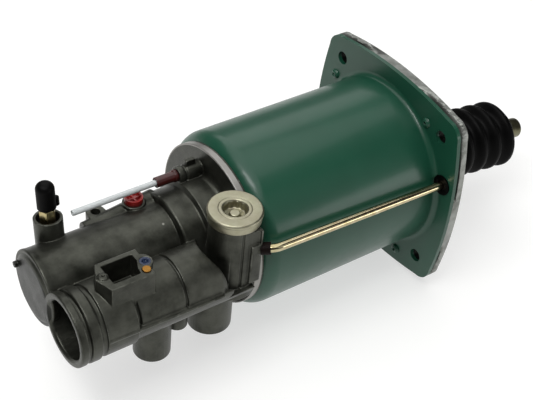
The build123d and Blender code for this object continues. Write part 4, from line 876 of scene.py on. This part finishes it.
@dataclass
class AirCylinder:
    """The green can with its flange, the bare plate behind it and what fastens them.

    screw_places gives each screw's angle round the axis and its distance from it. screw_head is a
    head's half section: the recess' floor and wall, the rounded top, and the seat on the flange.
    """

    screw_places: tuple[tuple[float, float], ...] = ((32.35, 71.0), (-32.35, 71.0), (124.5, 70.0),
                                                     (-118.2, 73.1))
    screw_head: Profile = ((0, 0, 0), (-0.9, 0, 0), (-0.9, 1.5, 0.2), (-1.5, 1.7, 0.2),
                           (-1.5, 2.8, 1.4), (0, 3.0, 0.2))
    screw_segments: int = 40
    flange_face: float = -9.5

    def build(self) -> None:
        """Builds the can, the plate and the small screws."""
        settle(cad_copy("air_cylinder_can", "green_can", GREEN), "housing", GREEN,
               "air_cylinder_can")
        settle(cad_copy("mounting_plate", "bare_plate", BARE), "housing", BARE, "mounting_plate")
        self.screws()

    def screws(self) -> None:
        """Sets a pan-head screw at each place."""
        head = turned(self.screw_head, ORIGIN, X_AXIS, self.screw_segments)
        holder = bpy.data.objects.new("screw_head", head)
        maker = Grower("set_screws", {"Unit": float, "Face": float})
        spread = node(maker.tree, "ShaderNodeVectorMath",
                      {"Vector": node(maker.tree, "GeometryNodeInputPosition"),
                       "Scale": maker.value("Unit")}, operation="SCALE")
        shift = node(maker.tree, "ShaderNodeCombineXYZ", {"X": maker.value("Face")})
        put = node(maker.tree, "GeometryNodeSetPosition", {"Geometry": maker.value("Geometry"),
                                                           "Position": spread, "Offset": shift})
        shown = node(maker.tree, "GeometryNodeObjectInfo", {"Object": holder})
        copies = node(maker.tree, "GeometryNodeInstanceOnPoints",
                      {"Points": put, "Instance": shown.outputs["Geometry"]})
        maker.close(copies)
        places = bpy.data.meshes.new("screw_places")
        places.from_pydata([(0.0, reach * math.cos(math.radians(angle)),
                             reach * math.sin(math.radians(angle)))
                            for angle, reach in self.screw_places], [], [])
        piece = maker.grow("flange_screws", GREEN, places, Unit=MM, Face=self.flange_face * MM)
        settle(piece, "housing", GREEN, "plate_screws")


@dataclass
class ValveCasting:
    """The one-piece casting: its CAD form with the rounded edges and fillets that a mould gives.

    It is made anew in cubes of the voxel's size, smoothed and thinned. pipe_boss, lug_rim and
    end_rim are the half sections of what the CAD form leaves out.
    """

    voxel: float = 0.45
    smoothing: float = 0.5
    rounds: int = 2
    most_faces: int = 192000
    sharp: float = 60.0
    pipe_start: Point = (-162.2, -58.0, 24.6)
    pipe_way: Point = (9.7, -7.5, 1.9)
    pipe_boss: Profile = ((-1.5, 0, 0), (-1.5, 3.8, 1.0), (2.6, 3.8, 0.6), (2.6, 0, 0))
    lug_hole: Point = (-265.7, -43.5, 36.6)
    lug_rim: Profile = ((0, 1.4, 0), (0, 3.2, 0), (1.5, 2.9, 0.5), (1.5, 1.4, 0.2))
    barrel_middle: Point = (0, 0, 3.8)
    end_rim: Profile = ((-290.4, 21.5, 0), (-290.4, 25.5, 0.5), (-286.0, 25.5, 0),
                        (-286.0, 21.5, 0))
    boss_segments: int = 48
    rim_segments: int = 128

    def lumps(self) -> list[bpy.types.Mesh]:
        """Turns what the CAD form leaves out.

        Returns:
            The pipe's boss, the rim of the lug's hole and the barrel's crisp end rim.
        """
        return [turned(self.pipe_boss, self.pipe_start, self.pipe_way, self.boss_segments),
                turned(self.lug_rim, self.lug_hole, Z_AXIS, self.boss_segments),
                turned(self.end_rim, self.barrel_middle, X_AXIS, self.rim_segments)]

    def build(self) -> None:
        """Rounds a copy of the casting and dresses it."""
        piece = cad_copy("valve_housing", "valve_casting", CAST)
        shape = bmesh.new()
        for mesh in (piece.data, *self.lumps()):
            shape.from_mesh(mesh)
        shape.to_mesh(piece.data)
        shape.free()
        melt = piece.modifiers.new("melt", "REMESH")
        melt.mode = "VOXEL"
        melt.voxel_size = self.voxel * MM
        soften = piece.modifiers.new("soften", "SMOOTH")
        soften.factor = self.smoothing
        soften.iterations = self.rounds
        piece = plain(piece)
        count = sum(len(p.vertices) - 2 for p in piece.data.polygons)
        thin = piece.modifiers.new("thin", "DECIMATE")
        thin.ratio = min(1.0, self.most_faces / count)
        piece = plain(piece)
        smooth_by_angle(piece.data, self.sharp)
        settle(piece, "housing", CAST, "valve_housing")


@dataclass
class ScrewPlug:
    """The zinc-plated plug on the column: flat head with a thin bright edge and a fluted recess.

    Its half sections give height over the column's face, radius and rounding. The flutes are
    pressed into the recess' wall, between two radii and two heights.
    """

    centre: Point = (-170.6, -42.8, 43.5)
    hub: Profile = ((3.6, 0, 0), (3.6, 2.9, 0.5), (1.4, 4.0, 0.8))
    recess: Profile = ((1.4, 7.4, 0.9), (6.1, 8.5, 0.2), (6.8, 9.05, 0.12))
    groove: Profile = ((6.8, 10.3, 0.1), (6.35, 10.6, 0.1), (6.35, 11.1, 0.1), (6.8, 11.4, 0.1))
    edge: Profile = ((6.8, 17.0, 0.15), (6.35, 17.5, 0.2), (5.3, 17.5, 0.15))
    undercut: Profile = ((5.0, 16.6, 0.1), (4.5, 16.6, 0.1), (4.2, 16.9, 0.15))
    skirt: Profile = ((0, 16.9, 0.3),)
    shank: Profile = ((0, 10.0, 0), (-12.0, 10.0, 0.6), (-12.0, 0, 0))
    segments: int = 144
    rounding_steps: int = 3
    flutes: int = 12
    flute_depth: float = 0.22
    flute_radii: tuple[float, float] = (4.2, 8.7)
    flute_heights: tuple[float, float] = (1.4, 6.5)

    def build(self) -> None:
        """Turns the plug and presses the flutes into its recess."""
        mesh = turned([*self.hub, *self.recess, *self.groove, *self.edge, *self.undercut,
                       *self.skirt, *self.shank], self.centre, Z_AXIS, self.segments,
                      self.rounding_steps)
        (near, far), (low, high) = self.flute_radii, self.flute_heights
        for vertex in mesh.vertices:
            across = Vector((vertex.co.x - self.centre[0] * MM, vertex.co.y - self.centre[1] * MM,
                             0.0))
            height = vertex.co.z / MM - self.centre[2]
            if near < across.length / MM < far and low < height < high:
                wave = math.cos(self.flutes * math.atan2(across.y, across.x))
                vertex.co += across.normalized() * (wave * self.flute_depth * MM)
        settle(linked("screw_plug", mesh, PLUG_ZINC), "housing", PLUG_ZINC, "valve_plug")


@dataclass
class BellowsBoot:
    """The rubber boot: lip in the plate, eight folds, and the collar that grips the rod.

    The folds start at x = start, their first crest is at x = first, and they run past the last
    crest by tail. They droop by tilt about the ball in the piston, fully from x = droop_length on.
    A fold's crest and valley are flat over the first and last shares of its half. lip and collar
    are half sections, the collar's from where it starts along the tilted rod.
    """

    ribs: int = 8
    start: float = -1.0
    first: float = 5.0
    pitch: float = 14.9
    tail: float = 5.5
    rib_radius: float = 26.5
    valley_radius: float = 20.5
    crest_share: float = 0.06
    valley_share: float = 0.44
    wall: float = 1.8
    ball_x: float = -51.5
    tilt: float = 8.0
    droop_length: float = 60.0
    travel: float = 45.0
    overlap: float = 0.6
    around: int = 96
    spans_per_fold: int = 26
    fewest_spans: int = 8
    sharp: float = 50.0
    lip: Profile = ((-8.9, 18.7, 0.3), (-8.9, 24.6, 0.8), (-6.7, 24.6, 0.6), (-6.6, 21.9, 0),
                    (0.6, 21.9, 0.4), (0.9, 18.7, 0.3))
    collar: Profile = ((0, 8.2, 0), (0, 22.0, 0.8), (3.2, 17.5, 3.0), (4.5, 11.4, 1.5),
                       (9.2, 11.4, 1.0), (9.2, 8.2, 0.3))
    collar_lap: float = 1.5

    def maker(self) -> Grower:
        """Builds the tree that folds a grid into bellows between two places along the boot.

        Returns:
            The tree, with its sizes as inputs.
        """
        sizes = ("Start", "End", "First", "Pitch", "Rib", "Valley", "Ball", "Slope", "Settle")
        g = Grower("bellows", {**dict.fromkeys(sizes, float), "Around": int, "Along": int})
        grid = node(g.tree, "GeometryNodeMeshGrid", {"Size X": 1.0, "Size Y": 1.0,
                                                     "Vertices X": g.value("Along"),
                                                     "Vertices Y": g.value("Around")})
        flat = node(g.tree, "ShaderNodeSeparateXYZ",
                    {"Vector": node(g.tree, "GeometryNodeInputPosition")})
        share = g.maths("ADD", flat.outputs["X"], 0.5)
        length = g.maths("SUBTRACT", g.value("End"), g.value("Start"))
        x = g.maths("MULTIPLY_ADD", share, length, g.value("Start"))
        folds = g.maths("DIVIDE", g.maths("SUBTRACT", x, g.value("First")), g.value("Pitch"))
        wave = g.maths("PINGPONG", folds, 0.5)
        crest = node(g.tree, "ShaderNodeMapRange", {"Value": wave, "From Min": self.crest_share,
                                                    "From Max": self.valley_share, "To Min": 1.0,
                                                    "To Max": 0.0},
                     interpolation_type="SMOOTHSTEP")
        height = g.maths("SUBTRACT", g.value("Rib"), g.value("Valley"))
        radius = g.maths("MULTIPLY_ADD", crest.outputs[0], height, g.value("Valley"))
        angle = g.maths("MULTIPLY", g.maths("ADD", flat.outputs["Y"], 0.5), math.tau)
        droop = node(g.tree, "ShaderNodeMapRange", {"Value": x, "From Max": g.value("Settle")},
                     interpolation_type="SMOOTHSTEP")
        run = g.maths("MULTIPLY", g.maths("SUBTRACT", x, g.value("Ball")), g.value("Slope"))
        middle = g.maths("MULTIPLY", g.maths("MULTIPLY", run, droop.outputs[0]), -1.0)
        y = g.maths("MULTIPLY", radius, g.maths("COSINE", angle))
        z = g.maths("MULTIPLY_ADD", radius, g.maths("SINE", angle), middle)
        place = node(g.tree, "ShaderNodeCombineXYZ", {"X": x, "Y": y, "Z": z})
        folded = node(g.tree, "GeometryNodeSetPosition", {"Geometry": grid, "Position": place})
        g.close(node(g.tree, "GeometryNodeMergeByDistance", {"Geometry": folded,
                                                             "Distance": BOOT_WELD}))
        return g

    def centre(self, x: float) -> float:
        """Finds the middle of the drooping boot.

        Args:
            x: The place along X.

        Returns:
            The height of the middle there.
        """
        share = min(max(x / self.droop_length, 0.0), 1.0)
        eased = 3 * share ** 2 - 2 * share ** 3
        return -(x - self.ball_x) * math.tan(math.radians(self.tilt)) * eased

    def section(self, g: Grower, name: str, start: float, end: float) -> bpy.types.Object:
        """Folds one stretch of the boot and gives it its wall.

        Args:
            g: The tree that folds.
            name: The piece's name.
            start: Where the stretch starts along X.
            end: Where it ends.

        Returns:
            The piece.
        """
        spans = max(self.fewest_spans, round((end - start) / self.pitch * self.spans_per_fold))
        piece = g.grow(name, RUBBER, None, Start=start * MM, End=end * MM, First=self.first * MM,
                       Pitch=self.pitch * MM, Rib=self.rib_radius * MM,
                       Valley=self.valley_radius * MM, Ball=self.ball_x * MM,
                       Slope=math.tan(math.radians(self.tilt)), Settle=self.droop_length * MM,
                       Around=self.around + 1, Along=spans)
        shape = bmesh.new()
        shape.from_mesh(piece.data)
        bmesh.ops.recalc_face_normals(shape, faces=shape.faces)
        outward = 0.0
        for face in shape.faces:
            at = face.calc_center_median()
            outward += face.normal.dot(at - Vector((at.x, 0, self.centre(at.x / MM) * MM)))
        if outward < 0:
            bmesh.ops.reverse_faces(shape, faces=shape.faces)
        shape.to_mesh(piece.data)
        shape.free()
        wall = piece.modifiers.new("wall", "SOLIDIFY")
        wall.thickness = self.wall * MM
        wall.offset = -1.0
        piece = plain(piece)
        smooth_by_angle(piece.data, self.sharp)
        return piece

    def build(self) -> None:
        """Builds the first fold, the moving folds, the rod's collar and the lip."""
        g = self.maker()
        crease = self.first + self.pitch / 2
        last = self.first + self.pitch * (self.ribs - 1) + self.tail
        root = self.section(g, "boot_root", self.start, crease + self.overlap)
        self.centre(crease) * MM
        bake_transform(root)
        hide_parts("dust_boot")
        LOG.info("%s bends from housing to boot", root.name)
        folds = self.section(g, "boot_folds", crease - self.overlap, last)
        settle(folds, "boot", RUBBER, "dust_boot")
        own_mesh(folds)
        tilt = math.radians(self.tilt)
        end = last - self.collar_lap
        collar = turned(self.collar, (end, 0, self.centre(end)),
                        (math.cos(tilt), 0.0, -math.sin(tilt)))
        settle(linked("boot_collar", collar, RUBBER), "push_rod", RUBBER, "dust_boot")
        lip = turned(self.lip, ORIGIN, X_AXIS)
        settle(linked("boot_lip", lip, RUBBER), "housing", RUBBER, "dust_boot")


@dataclass
class SmallPieces:
    """The pieces that keep their CAD form: joined, shaded and dressed.

    copies gives each piece's CAD node, finish and body.
    """

    copies: tuple[tuple[str, Finish, str], ...] = (
        ("bleed_screw", ZINC, "housing"), ("bleed_cap", RUBBER, "housing"),
        ("air_pipe", PIPE_ZINC, "housing"), ("pipe_nut", BROWN, "housing"),
        ("pipe_grommet", RUBBER, "housing"), ("vent_tube", CLEAR, "housing"),
        ("vent_connector", DARK_RED, "housing"), ("port_plug", RED, "housing"),
        ("lug_screw", BLUE, "housing"), ("lug_bush", BRASS, "housing"),
        ("exhaust_baffle", BLACK, "housing"), ("baffle_ring", STEEL, "housing"),
        ("push_rod", ROD, "push_rod"),
    )

    def build(self) -> None:
        """Builds each copy."""
        for cad, finish, body in self.copies:
            settle(cad_copy(cad, cad + "_dressed", finish), body, finish, cad)

    def dress_hidden(self, loaded: dict[str, Any]) -> None:
        """Gives every CAD node the finish of its slot, for those that stay in the scene.
        """
        slots = {part["node"]: Slot(part["material_slot"]) for part in loaded["record"]["subparts"]}
        for name, held in loaded["nodes"].items():
            held.data.materials.clear()
            held.data.materials.append(CAD_FINISHES[slots[name]].material())


@dataclass
class CoilSprings:
    """The hidden springs.

    springs gives each one's CAD node, joint, fixed end along X, length and travel.
    """

    springs: tuple[tuple[str, str, float, float, float], ...] = (
        ("preload_spring", "piston_slide", -286.0, 71.0, 45.0),
        ("control_spring", "control_slide", -228.3, 13.4, 4.0),
        ("inlet_spring", "inlet_slide", -204.3, 11.5, 2.0),
    )

    def build(self) -> None:
        """Copies each spring."""
        for cad, joint, fixed, length, travel in self.springs:
            coil = settle(cad_copy(cad, cad + "_coil", SPRING), "housing", SPRING, cad)
            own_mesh(coil)


@dataclass(frozen=True)
class SoftBox:
    """A soft box: its place, its width and height, its watts and the point that it faces."""

    name: str
    place: Point
    size: tuple[float, float]
    watts: float
    aim: Point

    def hang(self) -> None:
        """Hangs the soft box."""
        data = bpy.data.lights.new(self.name, "AREA")
        data.shape = "RECTANGLE"
        data.size, data.size_y = self.size[0] * MM, self.size[1] * MM
        data.energy = self.watts
        made = bpy.data.objects.new(self.name, data)
        made.location = Vector(self.place) * MM
        made.rotation_euler = (Vector(self.aim) - Vector(self.place)).to_track_quat(
            "-Z", "Y").to_euler()
        bpy.context.scene.collection.objects.link(made)


@dataclass
class Studio:
    """The pale floor, the soft lights and the camera.

    right and up are the camera's own axes, and sight the nearest and the farthest that it sees.
    focal is its focal length and width the photograph's width, both in pixels. floor_glow lifts
    the floor to white, and room is the light all round. The roof lights what faces up, key and
    edge draw the streaks and bright edges, fill opens the shaded side, and rim lights the back.
    """

    floor_z: float = -79.0
    floor_reach: float = 6000.0
    floor_colour: str = "#B2B2B0"
    floor_roughness: float = 0.9
    floor_glow: float = 0.6
    room: float = 0.06
    focal: float = 1215.4
    width: int = 533
    sensor: float = 36.0
    sight: tuple[float, float] = (20.0, 30000.0)
    place: Point = (-520.7, -505.3, 549.1)
    right: Point = (0.8156, -0.5724, 0.081)
    up: Point = (0.321, 0.5648, 0.7603)
    lights: tuple[SoftBox, ...] = (
        SoftBox("roof", (-250, 100, 1500), (2600, 2000), 26.0, (-150, 0, 0)),
        SoftBox("key", (-700, -200, 1100), (620, 300), 6.0, (-120, 0, 0)),
        SoftBox("fill", (300, -1100, 700), (900, 900), 1.2, (-120, 0, 0)),
        SoftBox("rim", (300, 900, 700), (900, 500), 2.5, (-120, 0, 0)),
        SoftBox("edge", (620, -1100, 150), (420, 320), 1.8, (-220, 0, 0)),
    )

    def camera(self) -> None:
        """Sets the camera where the photograph was taken."""
        data = bpy.data.cameras.new("view")
        data.sensor_width = self.sensor
        data.lens = self.focal * self.sensor / self.width
        near, far = self.sight
        data.clip_start, data.clip_end = near * MM, far * MM
        made = bpy.data.objects.new("view", data)
        right = Vector(self.right).normalized()
        up = (Vector(self.up) - right * right.dot(Vector(self.up))).normalized()
        turn = Matrix((right, up, right.cross(up))).transposed()
        made.matrix_world = Matrix.Translation(Vector(self.place) * MM) @ turn.to_4x4()
        bpy.context.scene.collection.objects.link(made)
        bpy.context.scene.camera = made

    def floor(self) -> None:
        """Lays a wide pale floor."""
        mesh = bpy.data.meshes.new("floor")
        reach, low = self.floor_reach * MM, self.floor_z * MM
        mesh.from_pydata([(-reach, -reach, low), (reach, -reach, low), (reach, reach, low),
                          (-reach, reach, low)], [], [(0, 1, 2, 3)])
        made = bpy.data.objects.new("floor", mesh)
        paper = bpy.data.materials.new("pale_paper")
        paper.use_nodes = True
        shader = paper.node_tree.nodes["Principled BSDF"]
        shader.inputs["Base Color"].default_value = linear(self.floor_colour)
        shader.inputs["Roughness"].default_value = self.floor_roughness
        shader.inputs["Emission Color"].default_value = linear("#FFFFFF")
        shader.inputs["Emission Strength"].default_value = self.floor_glow
        mesh.materials.append(paper)
        bpy.context.scene.collection.objects.link(made)

    def build(self) -> None:
        """Builds the whole studio."""
        self.camera()
        self.floor()
        world = bpy.data.worlds.new("studio")
        world.use_nodes = True
        air = world.node_tree.nodes["Background"]
        air.inputs["Color"].default_value = linear("#FFFFFF")
        air.inputs["Strength"].default_value = self.room
        bpy.context.scene.world = world
        bpy.context.scene.view_settings.view_transform = "Standard"
        for box in self.lights:
            box.hang()


def main() -> None:
    """Builds everything in order."""
    logging.basicConfig(level=logging.INFO, format="%(name)s: %(message)s")
    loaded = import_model()
    small = SmallPieces()
    small.dress_hidden(loaded)
    small.build()
    AirCylinder().build()
    ValveCasting().build()
    ScrewPlug().build()
    BellowsBoot().build()
    CoilSprings().build()
    Studio().build()


if __name__ == "__main__":
    main()
